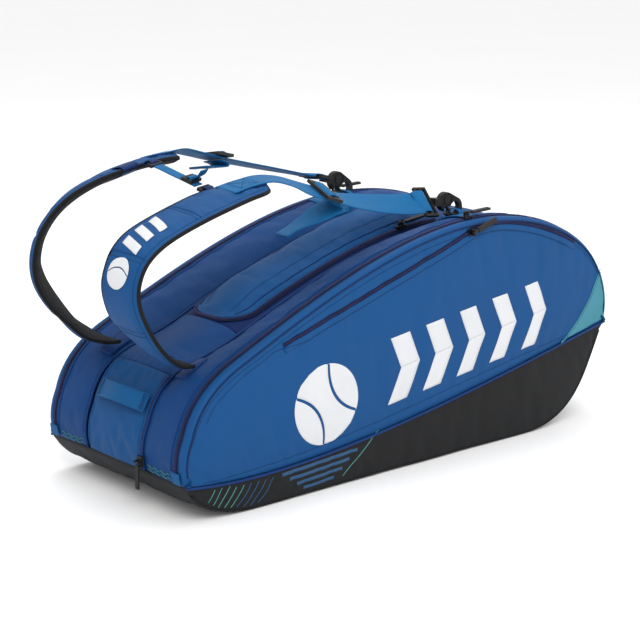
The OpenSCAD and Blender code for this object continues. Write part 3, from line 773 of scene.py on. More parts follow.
def keep_node(name, material, edge=0.7, segments=3):
    """A CAD node that stays: only its material and its edge rounding, in mm, are the scene's."""
    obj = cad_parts[name]
    m = obj.modifiers.new("bevel", "BEVEL")
    m.width, m.segments, m.limit_method = edge * MM, segments, "ANGLE"
    m.angle_limit, m.harden_normals = math.radians(38), True
    if not obj.material_slots:
        obj.data.materials.append(MATERIALS[material])
    for slot in obj.material_slots:
        slot.material = MATERIALS[material]
    smooth(obj.data)
    obj.data.update()


# ---- top of the bag ---------------------------------------------------------

GUSSET = [(-124, 0), (-106, 0.05), (-88, 0.27), (-74, 0.55), (-66, 0.84), (-60, 1)]
CROWN = [(-58, 1), (-47, 0.7), (-24, 0.45), (24, 0.45), (47, 0.7), (58, 1)]
LID = [(-47, 0.7), (-40, 0.35), (-25, 0), (0, -0.15), (25, 0), (40, 0.35), (47, 0.7)]
DOOR = [(-55, 0.6), (-41, 0.35), (41, 0.35), (55, 0.6)]
LID_GAP, LID_HALF, LID_CORNER = 0.0055, 0.047, 0.038
CENTRE_HALF, DOOR_HALF = 0.058, 0.0545
LID_FROM = float(length_at(LID_START)) + 0.006
LID_TO = float(length_at(LID_END)) - 0.0006


def crown_depth(s, y):
    return along_y(CROWN, y) * valley(s)


def patch_grid(start, end, count, y0, y1, rows):
    """Places along the rim and y over a patch of the top, from lengths start to end."""
    return np.meshgrid(place_at(np.linspace(start, end, count)), np.linspace(y0, y1, rows),
                       indexing="ij")


def on_gusset(s, y, lift=0.0):
    return on_top(s, y, along_y(GUSSET, y) * valley(s) - lift)


def zip_half(name, tape, thickness, path, side, body, node=None):
    """One tape of a zip and its coils: sewn to the bag, or, for a body that opens, left with its
    transform baked.
    """
    obj = join(name + "_zip", [shell(name + "_tape", tape, thickness, "tape"),
                               coil_row(path, outward(tape)[:, 1], side)])
    put(obj, body, (node,) if node else (), bend=body != "bag")


def gussets():
    grid = on_gusset(*patch_grid(0, RIM_LENGTH, 170, -ZIP_Y, -SEAM_Y - 0.0004, 18))
    grid = settle(grid, edges_held(*grid.shape[:2], 2, 1), 3.0, 0.0035, 0.006)
    for name, sign, seed in (("front", 1, 3), ("rear", -1, 8)):
        g = grid if sign > 0 else mirror(grid)
        g = soften(g, 0.0016, 9, seed, 6, 4)
        g = soften(g, 0.0007, 26, seed + 4, 6, 4)
        # gusset cloth in the top material: the body blue darkened as painted shade
        put(shell(name + "_gusset_cloth", g, TOP_CLOTH, "top"), "bag",
            (name + "_gusset",))
        up = outward(g)
        lines = [stitching(g[3:-3, k] + up[3:-3, k] * 0.0001, up[3:-3, k]) for k in (1, 16)]
        put(join(name + "_gusset_stitches", lines), "bag")
        fold = g[3:-3, 2] + up[3:-3, 2] * 0.0002
        put(tube(name + "_gusset_fold", fold, 0.0009, "piping", 6), "bag")


def lid_half(length, gap=0.0):
    """Half the width of the lid's outline, widened by gap, at a length along the rim."""
    r = LID_CORNER + gap
    inside = np.clip(np.asarray(length, float) - (LID_FROM - gap), 0, r)
    return LID_HALF - LID_CORNER + np.sqrt(np.maximum(r * r - (r - inside) ** 2, 0))


def lid_outline(gap, count=230):
    """The lid's open outline from its near head end round the tail to its far head end."""
    run = np.concatenate([[0], np.geomspace(0.0004, 1, 60)]) * (LID_TO - LID_FROM + gap)
    near = np.stack([LID_FROM - gap + run, -lid_half(LID_FROM - gap + run, gap)], -1)[::-1]
    line = even(np.concatenate([near, (near * (1, -1))[::-1]]), count)
    s = place_at(line[:, 0])
    return s, line[:, 1]


def centre_top():
    for name, node, start, end, count, depth, scale, seed in (
            ("crown_cloth", "crown_panel", length_at(LID_END), RIM_LENGTH, 76, 0.0012, 12, 21),
            ("tail_top_cloth", "tail_top_panel", length_at(DOOR_TOP) + 0.0008,
             LID_FROM - LID_GAP, 34, 0.0010, 15, 31)):
        s, y = patch_grid(start, end, count, -CENTRE_HALF, CENTRE_HALF, 30)
        grid = on_top(s, y, crown_depth(s, y))
        grid = settle(grid, edges_held(*grid.shape[:2]), 3.0, 0.004, 0.006)
        # crown and tail top in the top material: the body blue darkened as painted shade
        put(shell(name, soften(grid, depth, scale, seed), TOP_CLOTH, "top"), "bag",
            (node,))
    strips = []
    for sign in (1, -1):
        run = np.linspace(LID_FROM - LID_GAP, LID_TO + 0.0006, 110)
        inner = -lid_half(run, LID_GAP)
        k = np.linspace(0, 1, 9)
        y = -CENTRE_HALF + (inner[:, None] + CENTRE_HALF) * k
        s = np.broadcast_to(place_at(run)[:, None], y.shape)
        g = on_top(s, y, crown_depth(s, y))
        # the strips take the valley cloth, darkened as painted shade
        strips.append(shell(f"strip_{sign}", g if sign > 0 else mirror(g), 0.0022, "deep"))
    put(join("pocket_side_cloth", strips), "bag", ("pocket_side_strips",))


def top_lid():
    run = np.linspace(LID_FROM, LID_TO, 96)
    k = np.linspace(-1, 1, 31)
    y = lid_half(run)[:, None] * k
    s = np.broadcast_to(place_at(run)[:, None], y.shape)
    ends = (ramp(run, LID_FROM, LID_FROM + 0.07) * ramp(run, LID_TO + 0.001, LID_TO - 0.05)
            )[:, None]
    share = along_y(CROWN, y) * (1 - ends) + along_y(LID, y) * ends - 0.08
    grid = on_top(s, y, share * valley(s))
    grid = settle(grid, edges_held(*grid.shape[:2]), 4.0, 0.005, 0.008)
    grid = soften(grid, 0.0022, 8, 44, 8, 5)
    grid = soften(grid, 0.0008, 24, 47, 5, 5)
    put(shell("top_lid_cloth", grid, 0.0048, "body"), "top_lid", ("top_lid",),
        bend=True)
    up = outward(grid)
    lines = []
    for k in (2, 6, 24, 28):
        path, u = grid[4:-2, k], up[4:-2, k]
        lines.append(stitching(path + u * 0.0001, u))
        if k in (2, 28):
            lines.append(tube(f"lid_roll_{k}", path + u * 0.0002, 0.0008, "piping", 6))
    put(join("lid_stitches", lines), "top_lid", bend=True)
    zip_round_lid()


def zip_round_lid():
    """Two tapes and two coil rows round the lid: one sewn to the bag and one to the lid."""
    for name, body, inner, outer, side in (("bag", "bag", 0.0028, 0.0062, 1),
                                           ("lid", "top_lid", -0.0006, 0.0026, -1)):
        s0, y0 = lid_outline(inner)
        s1, y1 = lid_outline(outer)
        g = np.stack([on_top(s0 + (s1 - s0) * k, y0 + (y1 - y0) * k,
                             crown_depth(s0, y0 + (y1 - y0) * k) - 0.0016)
                      for k in (0, 0.5, 1)], 1)
        s, y = lid_outline(0.0027)
        path = on_top(s, y, crown_depth(s, y) - 0.0020)
        zip_half(name + "_lid", g, TAPE_THICK, path, side, body, "top_zip_chain"
                 if body == "bag" else None)


def shoe_door():
    s, y = patch_grid(0.0006, length_at(DOOR_TOP) - 0.0006, 44, -DOOR_HALF, DOOR_HALF, 30)
    grid = on_top(s, y, along_y(DOOR, y) * valley(s))
    grid = settle(grid, edges_held(*grid.shape[:2]), 5.0, 0.0075, 0.010)
    grid = soften(grid, 0.0016, 14, 52)
    put(shell("shoe_door_cloth", grid, TOP_CLOTH, "body"), "shoe_door",
        ("shoe_door",), bend=True)
    up = outward(grid)
    lines = [stitching(grid[2:-1, k] + up[2:-1, k] * 0.0001, up[2:-1, k]) for k in (1, 28)]
    put(join("door_stitches", lines), "shoe_door", bend=True)
    s = place_at(np.linspace(0.002, length_at(DOOR_TOP) - 0.002, 60))
    for name, body, y0, y1, side, node in (
            ("bag", "bag", -0.0585, -0.0571, 1, "shoe_zip_chain"),
            ("door", "shoe_door", -0.0567, -DOOR_HALF, -1, None)):
        g = np.stack([on_top(s, y, 0.0002 + 0.5 * valley(s) - 0.0004)
                      for y in (y0, (y0 + y1) / 2, y1)], 1)
        path = on_top(s, -0.0569, 0.5 * valley(s) - 0.0006)
        zip_half(name + "_shoe", g, TAPE_THICK, path, side, body, node)


def piping_lines():
    parts = []
    for sign in (1, -1):
        line = solid(seam_line(150, -0.0014), -HALF_WIDTH - 0.0007) * (1, sign, 1)
        parts.append(tube(f"seam_cord_{sign}", line, 0.0019, "piping"))
    put(join("seam_piping_cord", parts), "bag", ("seam_piping",))
    parts = []
    for sign in (1, -1):
        s = place_at(np.linspace(0.002, RIM_LENGTH - 0.002, 170))
        line = on_top(s, -0.0592, valley(s) - 0.0012) * (1, sign, 1)
        parts.append(tube(f"valley_cord_{sign}", line, 0.0018, "piping"))
    put(join("valley_piping_cord", parts), "bag", ("valley_piping",))


def anchor_tabs():
    parts = []
    for sign in (1, -1):
        s, y = patch_grid(length_at(TAB_START), length_at(CORNER_TOP), 22, -0.088, -0.066, 12)
        crown = np.sin(np.linspace(0, math.pi, 22))[:, None] * 0.0006
        g = on_gusset(s, y, TAB_LIFT + crown)
        parts.append(shell(f"tab_{sign}", g if sign > 0 else mirror(g), TOP_CLOTH, "piping"))
        up = outward(g)
        flip = (1, sign, 1)
        parts += [stitching(g[1:-1, k] * flip, up[1:-1, k] * flip, "thread_pale", 3.0)
                  for k in (1, -2)]
    put(join("strap_anchor_cloth", parts), "bag", ("strap_anchor_tabs",))


def place_of(x):
    """The place along the rim, over the top of the bag, that has this x."""
    over = FINE > CORNER_TOP
    return np.interp(x, rim_at(FINE[over])[:, 0], FINE[over])


def small_trims():
    """Tabs over the zips' tail ends and under the hooks, and a wavy print at the tail."""
    tabs, waves = [], []
    for sign, x in ((1, 0.114), (-1, 0.058)):
        flip = (1, sign, 1)
        s, y = np.meshgrid(np.linspace(0.15, 1.3, 10), np.linspace(-0.1335, -0.1185, 8),
                           indexing="ij")
        tabs.append(shell(f"zip_end_tab_{sign}", on_top(s, y, -0.0030) * flip, LOOP_THICK, "handle"))
        s, y = np.meshgrid(place_of(np.linspace(x - 0.014, x + 0.014, 8)),
                           np.linspace(-0.120, -0.068, 24), indexing="ij")
        g = on_gusset(s, y, TAB_LIFT)
        tabs.append(shell(f"hook_tab_{sign}", g * flip, 0.0013, "webbing"))
        up = outward(g)
        for k in (1, -2):
            tabs.append(stitching(g[k, 1:-1] * flip, up[k, 1:-1] * flip, "thread", 3.0))
        for row in (0.35, 0.75):
            t = np.linspace(0, 1, 90)
            y = -0.112 + 0.046 * t
            s = row + 0.13 * np.sin(t * 7 * math.pi)
            line = on_gusset(s, y, 0.0007) * flip
            waves.append(tube(f"tail_wave_{sign}_{row}", line, 0.0006, "mint_print", 6, 0.5))
    put(join("small_tabs", tabs), "bag")
    put(join("tail_wave_print", waves), "bag")


# ---- inside -----------------------------------------------------------------


def inner_panels():
    """Dividers between the compartments, and the shoe compartment's roof and end wall."""
    n = 90
    s = place_at(np.linspace(0, RIM_LENGTH, n))
    top = rim_inset(s, valley(s) + 0.0036)
    foot = lower_line(n)
    middle = (top + foot) / 2
    foot = foot + unit(middle - foot, 1e-6) * 0.0034
    for name, sign, seed in (("front", 1, 60), ("rear", -1, 66)):
        grid = np.stack([solid(top + (foot - top) * k, -0.0578) for k in np.linspace(0, 1, 34)], 1)
        grid = soften(grid, 0.0004, 16, seed)
        obj = shell(name + "_divider_cloth", grid * (1, sign, 1), 0.0016, "lining")
        trim = tube(name + "_divider_binding", solid(top[2:-2], -0.057) * (1, sign, 1), 0.0011,
                    "binding", 6)
        put(join(name + "_divider_panel", [obj, trim]), "bag", (name + "_divider",))
    path = spline([(-288, 0, 160.6), (-200, 0, 156), (-112, 0, 151.4), (-101, 0, 148),
                   (-99.2, 0, 138), (-99.2, 0, 80), (-99.2, 0, 6)], 60) * MM
    grid = np.stack([path + (0, y, 0) for y in np.linspace(-0.0545, 0.0545, 24)], 1)
    grid = soften(grid, 0.0008, 18, 71)
    put(shell("shoe_liner_cloth", grid, 0.0014, "lining", centre=np.array([-0.2, 0, 0.08])),
        "bag", ("shoe_liner",))


# ---- side covers ------------------------------------------------------------


class Surface:
    """The outer face of a side, so that prints and trims can be laid on it."""

    def __init__(self, grid):
        faces = grid_faces(*grid.shape[:2])
        self.tree = BVHTree.FromPolygons([tuple(v) for v in grid.reshape(-1, 3)],
                                         [tuple(int(k) for k in f) for f in faces])

    def lay(self, flat, lift):
        """(x, z) points in metres, laid on the face from outside and lifted off it."""
        flat = np.asarray(flat, float)
        out = []
        for x, z in flat.reshape(-1, 2):
            hit, normal, _, _ = self.tree.ray_cast(Vector((x, -0.3, z)), Vector((0, 1, 0)))
            if hit is None:
                hit, normal = Vector((x, -HALF_WIDTH, z)), Vector((0, -1, 0))
            out.append(hit + normal * (lift if normal.y < 0 else -lift))
        return np.array(out).reshape(flat.shape[:-1] + (3,))


def flat_strip(path, low, high, count=4):
    """A strip beside an (x, z) path, from low to high metres below it."""
    path = np.asarray(path, float)
    d = unit(np.gradient(path, axis=0))
    side = np.stack([d[:, 1], -d[:, 0]], -1)
    return np.stack([path + side * k for k in np.linspace(low, high, count)], 1)


COVER_ROLL = 0.0055
POCKET_ZIP = np.concatenate([
    np.linspace((-0.226, 0.198), (0.098, 0.3004), 60),
    bezier(((100, 301), (140, 310), (215, 301), (300, 259)), np.linspace(0, 1, 44))])


def cover_grid():
    """Edge strip, rolled edge and side panel of a cover, from the zip to the lower seam."""
    n, rows = 170, 34
    s = place_at(np.linspace(0, RIM_LENGTH, n))
    edge = [on_top(s, y, 0) for y in (-0.1274, -0.1305, -0.1335)]
    roll = [on_top(s, -0.1345 - COVER_ROLL * math.sin(a), COVER_ROLL * (1 - math.cos(a)))
            for a in np.radians((0, 22, 45, 68))]
    top = rim_inset(s, COVER_ROLL)
    foot = seam_line(n, 0.001)
    panel = [solid(top + (foot - top) * k, -HALF_WIDTH)
             for k in np.linspace(0, 1, rows) ** 1.15]
    return np.stack(edge + roll + panel, 1), len(edge) + len(roll)


def side_covers():
    grid, first = cover_grid()
    held = edges_held(*grid.shape[:2], 2, 1)
    held[:, :first + 1] = True
    grid = settle(grid, held, 3.2, 0.0075, 0.004, 16)
    surfaces = {}
    for name, sign, seed in (("front", 1, 80), ("rear", -1, 86)):
        g = grid.copy()
        width = fade(g.shape[0], g.shape[1] - first, 8, 6)
        waved = rumple(rumple(g, 0.0020, 7, seed), 0.0007, 19, seed + 3)
        g[:, first:] += (waved - g)[:, first:] * width[..., None]
        out = g if sign > 0 else mirror(g)
        put(shell(name + "_cover_cloth", out, 0.0046, "body"), name + "_cover",
            (name + "_cover",), bend=True)
        surfaces[name] = Surface(g[:, first:])
        up = outward(g)
        flip = (1, sign, 1)
        edge = g[2:-2, first] + up[2:-2, first] * 0.0004
        trims = [tube(name + "_edge_cord", edge * flip, 0.0012, "thread", 6)]
        for k in (1, first + 2):
            trims.append(stitching(g[4:-4, k] * flip, up[4:-4, k] * flip))
        trims.append(stitching(g[6:-6, -3] * flip, up[6:-6, -3] * flip))
        put(join(name + "_cover_trims", trims), name + "_cover", bend=True)
        lining(name, sign)
        main_zip(name, sign)
    return surfaces


def lining(name, sign):
    n = 100
    s = place_at(np.linspace(0.012, RIM_LENGTH - 0.012, n))
    top, foot = rim_inset(s, 0.0042), even(seam_line(200, 0.0042)[3:-3], n)
    grid = np.stack([solid(top + (foot - top) * k, -0.1341) for k in np.linspace(0, 1, 40)], 1)
    quilt = np.sin(np.linspace(0, 9 * math.pi, n))[:, None] * np.sin(
        np.linspace(0, 4 * math.pi, 40))[None]
    grid[..., 1] += (quilt * 0.0005 + 0.0003) * fade(n, 40)
    far = np.array([0.0, -0.3, 0.12])
    put(shell(name + "_lining_cloth", grid * (1, sign, 1), 0.0009, "lining",
              centre=far * (1, sign, 1)),
        name + "_cover", (name + "_cover_lining",), bend=True)


def main_zip(name, sign):
    """Both halves of a cover's zip, from the seam's tail end to its head end."""
    s = place_at(np.linspace(length_at(1), length_at(RIM_END - 1), 170))
    flip = (1, sign, 1)
    path = on_top(s, -0.1256, -0.0007) * flip
    for part, body, y0, y1, row, node in (
            ("bag", "bag", -0.1222, -0.1254, 1, name + "_zip_chain"),
            ("cover", name + "_cover", -0.1258, -0.1292, -1, None)):
        g = np.stack([on_top(s, y, -0.0005) for y in (y0, (y0 + y1) / 2, y1)], 1) * flip
        zip_half(f"{name}_{part}", g, COVER_TAPE_THICK, path, row * sign, body, node)


def laid(name, surface, flat, thickness, material, sign=1):
    """A thin piece laid on a side: flat is a grid of (x, z) points."""
    grid = surface.lay(flat, thickness) * (1, sign, 1)
    return shell(name, grid, thickness, material, roll=0.2)


def pocket(surface):
    parts = [laid("pocket_tape", surface, flat_strip(POCKET_ZIP, -0.003, 0.003), TAPE_THICK, "tape")]
    path = surface.lay(POCKET_ZIP, 0.0005)
    for side in (1, -1):
        parts.append(coil_row(path, (0, -1, 0), side, width=1.8))
    put(join("pocket_zip_line", parts), "front_cover", ("front_pocket_zip",), bend=True)
    flap = laid("pocket_flap_cloth", surface, flat_strip(POCKET_ZIP, 0.0024, 0.0105, 6), 0.0009,
                "body")
    put(flap, "front_cover", ("front_pocket_flap",), bend=True)
    seam = flat_strip(POCKET_ZIP, 0.0012, 0.0098, 2)
    s = place_at(np.linspace(length_at(6.5), length_at(13.6), 40))
    tail = rim_inset(s, 0.017)
    edge = np.concatenate([tail, seam[3:, 1]])
    edge = spline(np.concatenate([edge, np.zeros((len(edge), 1))], 1)[::3], 150)[:, :2]
    lines = [stitching(surface.lay(edge, 0.0010), (0, -1, 0)),
             stitching(surface.lay(seam[:, 0], 0.0010), (0, -1, 0))]
    put(join("pocket_stitches", lines), "front_cover", bend=True)


def corner_patch(name, surface, sign):
    inner = even(np.array([(358.5, 213), (336, 177), (311, 146), (279, 114.6)]) * MM, 40)
    s = np.linspace(40.3, RIM_END - 0.35, 60)
    rim = rim_inset(s, 0.0028)
    seam = seam_line(200, 0.0035)
    seam = seam[(seam[:, 0] > 0.279) & (seam[:, 0] < rim[-1, 0] - 0.001)][::-1]
    outer = even(np.concatenate([rim, seam]), 40)
    flat = np.stack([inner + (outer - inner) * k for k in np.linspace(0, 1, 16)], 1)
    patch = laid(name + "_patch_cloth", surface, flat, 0.0008, "light", sign)
    line = stitching(surface.lay(inner[1:-1] + (0.0022, -0.001), 0.0009) * (1, sign, 1), (0, -sign, 0))
    put(join(name + "_patch", [patch, line]), name + "_cover",
        (name + "_corner_patch",), bend=True)


def sheet_of(a, b, c, d, nu=14, nv=6):
    """A grid of (x, z) points over the four-sided shape a, b, c, d."""
    a, b, c, d = (np.array(q, float) for q in (a, b, c, d))
    u, v = np.linspace(0, 1, nu)[:, None, None], np.linspace(0, 1, nv)[None, :, None]
    return (a * (1 - u) + b * u) * (1 - v) + (d * (1 - u) + c * u) * v


def emblem(name, surface, sign):
    """A generic print: a tennis ball, then a row of slanted chevrons."""
    centre, radius = np.array([-0.158, 0.113]), 0.052
    turn = math.radians(35)
    parts = []

    def seam_x(v, offset):
        """A ball seam: a curve across the disc, bowed towards its middle."""
        return offset * (0.78 - 0.46 * (1 - (v / radius) ** 2))

    v = np.linspace(-radius, radius, 41)
    half = np.sqrt(np.maximum(radius**2 - v**2, 0))
    left, right = seam_x(v, -radius), seam_x(v, radius)
    gap = 0.0022
    bands = [(-half, np.maximum(left - gap, -half)), (np.clip(left + gap, -half, half),
             np.clip(right - gap, -half, half)), (np.minimum(right + gap, half), half)]
    spin = np.array([[math.cos(turn), -math.sin(turn)], [math.sin(turn), math.cos(turn)]])
    for k, (low, high) in enumerate(bands):
        u = np.linspace(0, 1, 12)
        x = low[:, None] + (high - low)[:, None] * u
        flat = np.stack([x, np.broadcast_to(v[:, None], x.shape)], -1) @ spin.T + centre
        parts.append(laid(f"{name}_ball_{k}", surface, flat, PRINT_THICK, "white", sign))
    slope = math.tan(math.radians(7.4))
    for k in range(5):
        x0, wide, rise, lean = -0.052 + k * 0.062, 0.034 - 0.002 * k, 0.088, 0.020
        z0 = 0.092 + (x0 + 0.05) * slope
        low, mid, high = (0, 0), (lean, rise * 0.5), (0, rise)
        for j, (p, q) in enumerate(((low, mid), (mid, high))):
            corners = [(x0 + p[0], z0 + p[1] + p[0] * slope),
                       (x0 + q[0], z0 + q[1] + q[0] * slope),
                       (x0 + q[0] + wide, z0 + q[1] + (q[0] + wide) * slope),
                       (x0 + p[0] + wide, z0 + p[1] + (p[0] + wide) * slope)]
            parts.append(laid(f"{name}_chevron_{k}_{j}", surface, sheet_of(*corners), PRINT_THICK,
                              "white", sign))
    put(join(name + "_print", parts), name + "_cover", bend=True)


def lower_print(name, surface, sign):
    """Blue slanted stripes with a mint edge, and a fan of thin arcs at the tail."""
    seam, foot = seam_line(300, -0.0045), lower_line(300)
    top_z = lambda x: np.interp(x, seam[:, 0], seam[:, 1])
    low_z = lambda x: np.interp(x, foot[:, 0], foot[:, 1]) + 0.007
    parts = []
    for k in range(9):
        x = np.linspace(-0.262 + 0.012 * k, -0.062 - 0.013 * k, 50)
        z = 0.066 - 0.0088 * k + (x + 0.15) * 0.06
        half = 0.0021
        keep = (z + half < top_z(x)) & (z - half > low_z(x))
        if keep.sum() < 4:
            continue
        x, z = x[keep], z[keep]
        flat = np.stack([np.stack([x, z - half], -1), np.stack([x, z], -1),
                         np.stack([x, z + half], -1)], 1)
        parts.append(laid(f"{name}_stripe_{k}", surface, flat, THIN_PRINT, "blue_print", sign))
    edge = even([(-0.046, 0.074), (-0.125, 0.012)], 30)
    parts.append(laid(f"{name}_edge", surface, flat_strip(edge, 0, 0.0012, 2), THIN_PRINT,
                      "mint_print", sign))
    for k in range(9):
        x0 = -0.352 + 0.0115 * k
        t = np.linspace(0, 1, 26)
        x = x0 - 0.012 + 0.050 * t
        z = 0.062 * t**1.5 + 0.004
        keep = (z < top_z(x)) & (z > low_z(x))
        if keep.sum() < 4:
            continue
        line = np.stack([x[keep], z[keep]], -1)
        material = "mint_print" if k < 5 else "blue_print"
        parts.append(laid(f"{name}_arc_{k}", surface, flat_strip(line, 0, 0.0011, 2), THIN_PRINT,
                          material, sign))
    put(join(name + "_lower_print", parts), "bag")


# ---- straps -----------------------------------------------------------------

# Routes as in the CAD model: x, y from the strap's middle, z, twist in degrees, width share
FRONT_PAD = [
    (-325, 0, 178, 0, 0.58), (-342, 0, 183.5, -6, 0.7), (-362, 0, 195, -8, 0.85),
    (-385, 0, 216, -6, 0.95), (-404, 0, 238, 0, 1), (-415, 0, 262, 0, 1), (-418, 0, 284, 0, 1),
    (-413, 0, 304, 0, 1), (-403, 0, 321, 2, 1), (-385, 0, 336, 4, 1), (-359, 0, 348, 4, 1),
    (-320, 0, 361, 4, 1), (-280, 0, 372, 4, 1), (-245, 0, 378.5, 2, 0.95), (-210, 0, 382, 0, 0.85)]
REAR_PAD = [
    (-325, 0, 178, 0, 0.58), (-346, 0, 185.5, -10, 0.7), (-376, 0, 202, -20, 0.85),
    (-403, 0, 231, -27, 1), (-423, 0, 257, -33, 1), (-434, 0, 285, -37, 1), (-430, 0, 314, -38, 1),
    (-417, 0, 337, -36, 1), (-397, 0, 356, -32, 1), (-370, 0, 371, -27, 1), (-336, 0, 383, -22, 1),
    (-297, 0, 392, -18, 1), (-261, 0, 397, -16, 0.95), (-231, 0, 398, -15, 0.85)]
FRONT_WEBBING = [
    (-262, 0, 383.5, 3, 1), (-235, 0, 388.5, 2, 1), (-205, 0, 390, 4, 1), (-170, 0, 383, 12, 1),
    (-138, 0, 370.7, 20, 1), (-105, 0, 360, 20, 1), (-72, 0, 349.3, 20, 1), (-34, 5, 341, 27, 1),
    (0, 7, 335, 32, 1), (35, 9, 330, 35, 1), (58, 10, 328.3, 36, 1), (72, 10.6, 327.5, 36, 1)]
REAR_WEBBING = [
    (-276, 0, 405.5, -17, 1), (-248, 0, 408, -15, 1), (-220, 0, 407, -14, 1),
    (-190, 0, 399.5, -12, 1), (-160, 0, 391, -11, 1), (-125, 0, 382.3, -10, 1),
    (-80, -3, 371.5, -9, 1), (-40, -7, 362, -7, 1), (-20, -8.5, 357.2, -6, 1),
    (-8, -10, 354.3, -6, 1)]
STRAPS = (("front", -0.075, FRONT_PAD, FRONT_WEBBING), ("rear", 0.075, REAR_PAD, REAR_WEBBING))
HOOKS = {"front": ((97, -64, 326), 5, 46), "rear": ((17, 64, 349), 14, -6)}
SEWN_DROP = {"front": 0.0020, "rear": 0.0034}
PAD_HALF, PAD_THICK, WEB_HALF = 0.035, 0.009, 0.019
PAD_CHANNELS = (0.24, 0.47, 0.70)  # sewn across, as shares of a pad's length
CHEST = (np.array([-0.285, 0.029, 0.4005]), np.array([-0.260, -0.027, 0.379]))


def stations(route, y, count):
    """Centres, along, across and normal directions, and width shares, at even steps."""
    q = spline(route, count)
    centre = q[:, :3] * MM + (0, y, 0)
    along = unit(np.gradient(centre, axis=0))
    up = unit(np.cross(along, (0, 1, 0)))
    flat = np.cross(up, along)
    twist = np.radians(q[:, 3])[:, None]
    across = flat * np.cos(twist) + up * np.sin(twist)
    return centre, along, across, np.cross(along, across), q[:, 4]


def ribbon(name, centre, across, normal, half, thick, material, bulge=0.0):
    """A flat woven band with rounded edges, slightly domed by bulge."""
    k = np.array([-1, -0.97, -0.6, 0, 0.6, 0.97, 1, 1, 0.97, 0.6, 0, -0.6, -0.97, -1])
    h = np.array([-0.25, -0.5, -0.5, -0.5, -0.5, -0.5, -0.25, 0.25, 0.5, 0.5, 0.5, 0.5, 0.5,
                  0.25])
    half = np.broadcast_to(np.asarray(half, float), len(centre))[:, None, None]
    dome = bulge * (1 - k**2)
    rings = (centre[:, None] + across[:, None] * half * k[None, :, None]
             + normal[:, None] * (h * thick + dome)[None, :, None])
    return loft(name, rings, material)


def path_frames(points, across, count):
    """A smooth path with one cross direction, or one for each point: centres, across and
    normal directions."""
    centre = spline(points, count)
    along = unit(np.gradient(centre, axis=0))
    across = np.broadcast_to(np.asarray(across, float), centre.shape)
    across = unit(across - along * (along * across).sum(1, keepdims=True))
    return centre, across, np.cross(along, across)


def foot_taper(centre):
    """1 along a pad, falling where it thins out towards its foot."""
    return 0.25 + 0.75 * ramp(lengths(centre), 0, 0.075)


def pad_grid(route, y, count=130):
    """The outer face of a strap pad, with its upper end rounded."""
    centre, along, across, normal, share = stations(route, y, count)
    run = lengths(centre)
    left, r = run[-1] - run, 0.024
    share = share * (0.62 + 0.38 * np.sqrt(np.clip(1 - np.clip(1 - left / r, 0, 1) ** 2, 0, 1)))
    k = np.linspace(-1, 1, 27)
    crown = PAD_THICK * (0.52 - 0.62 * np.abs(k) ** 4)
    half = PAD_HALF * share
    grid = (centre[:, None] + across[:, None] * (half[:, None] * k)[..., None]
            + normal[:, None] * (crown * foot_taper(centre)[:, None])[..., None])
    return grid, centre, along, across, normal, half


def strap_pad(name, y, route):
    middle = np.array([-0.325, y, 0.275])
    grid, centre, along, across, normal, half = pad_grid(route, y)
    n, m = grid.shape[:2]
    held = edges_held(n, m, 2, 2)
    for share in PAD_CHANNELS:
        held[int(n * share)] = True
    puffed = settle(grid, held, 3.5, 0.0028, 0.010, centre=middle)
    channel = np.ones(n)
    for share in PAD_CHANNELS:
        channel *= 1 - 0.9 * np.exp(-((np.arange(n) / n - share) * n / 1.1) ** 2)
    puffed = puffed - normal[:, None] * (0.0012 * (1 - channel))[:, None, None]
    puffed = soften(puffed, 0.0010, 20, 5 if y < 0 else 9, 3, 4, centre=middle)
    body = name + "_strap"
    put(shell(name + "_pad_cloth", puffed, 0.0032, "body", centre=middle), body,
        (name + "_strap_pad",), bend=True)
    seams = []
    for share in PAD_CHANNELS:
        i = int(n * share)
        for step in (-1, 1):
            line = puffed[i + step, 2:-2]
            seams.append(stitching(line + normal[i] * 1e-4, normal[i], "thread"))
    for k in (2, m - 3):
        seams.append(stitching(puffed[4:-4, k], normal[4:-4], "thread"))
    put(join(name + "_pad_stitches", seams), body, bend=True)
    k = np.linspace(-1, 1, 19)
    lining_ = (centre[:, None] + across[:, None] * ((half - 0.0022)[:, None] * k)[..., None]
               - normal[:, None] * ((0.0026 + 0.0024 * (1 - np.abs(k) ** 4))
                                    * foot_taper(centre)[:, None])[..., None])
    inner = shell(name + "_pad_mesh", lining_, 0.0018, "mesh", centre=middle)
    put(inner, body, (name + "_strap_lining",), bend=True)
    edge = np.concatenate([grid[:, 0], grid[-1, 1:-1], grid[::-1, -1]])
    out = np.concatenate([-across, along[-1:].repeat(m - 2, 0), across[::-1]])
    up = np.concatenate([normal, normal[-1:].repeat(m - 2, 0), normal[::-1]])
    for _ in range(3):
        out[1:-1] = out[:-2] + out[1:-1] * 2 + out[2:]
        out = unit(out)
    rings = []
    for p, o, u in zip(edge, out, up):
        p = p - u * 0.0015
        rings.append([p + o * 0.0015 * math.cos(a) + u * 0.0026 * math.copysign(
            abs(math.sin(a)) ** 0.7, math.sin(a)) for a in np.linspace(0, 2 * math.pi, 10, False)])
    put(loft(name + "_pad_binding", rings, "binding"), body, bend=True)
    if y < 0:
        put(pad_print(name, puffed, normal), body, bend=True)
    return centre, along, across, normal, half


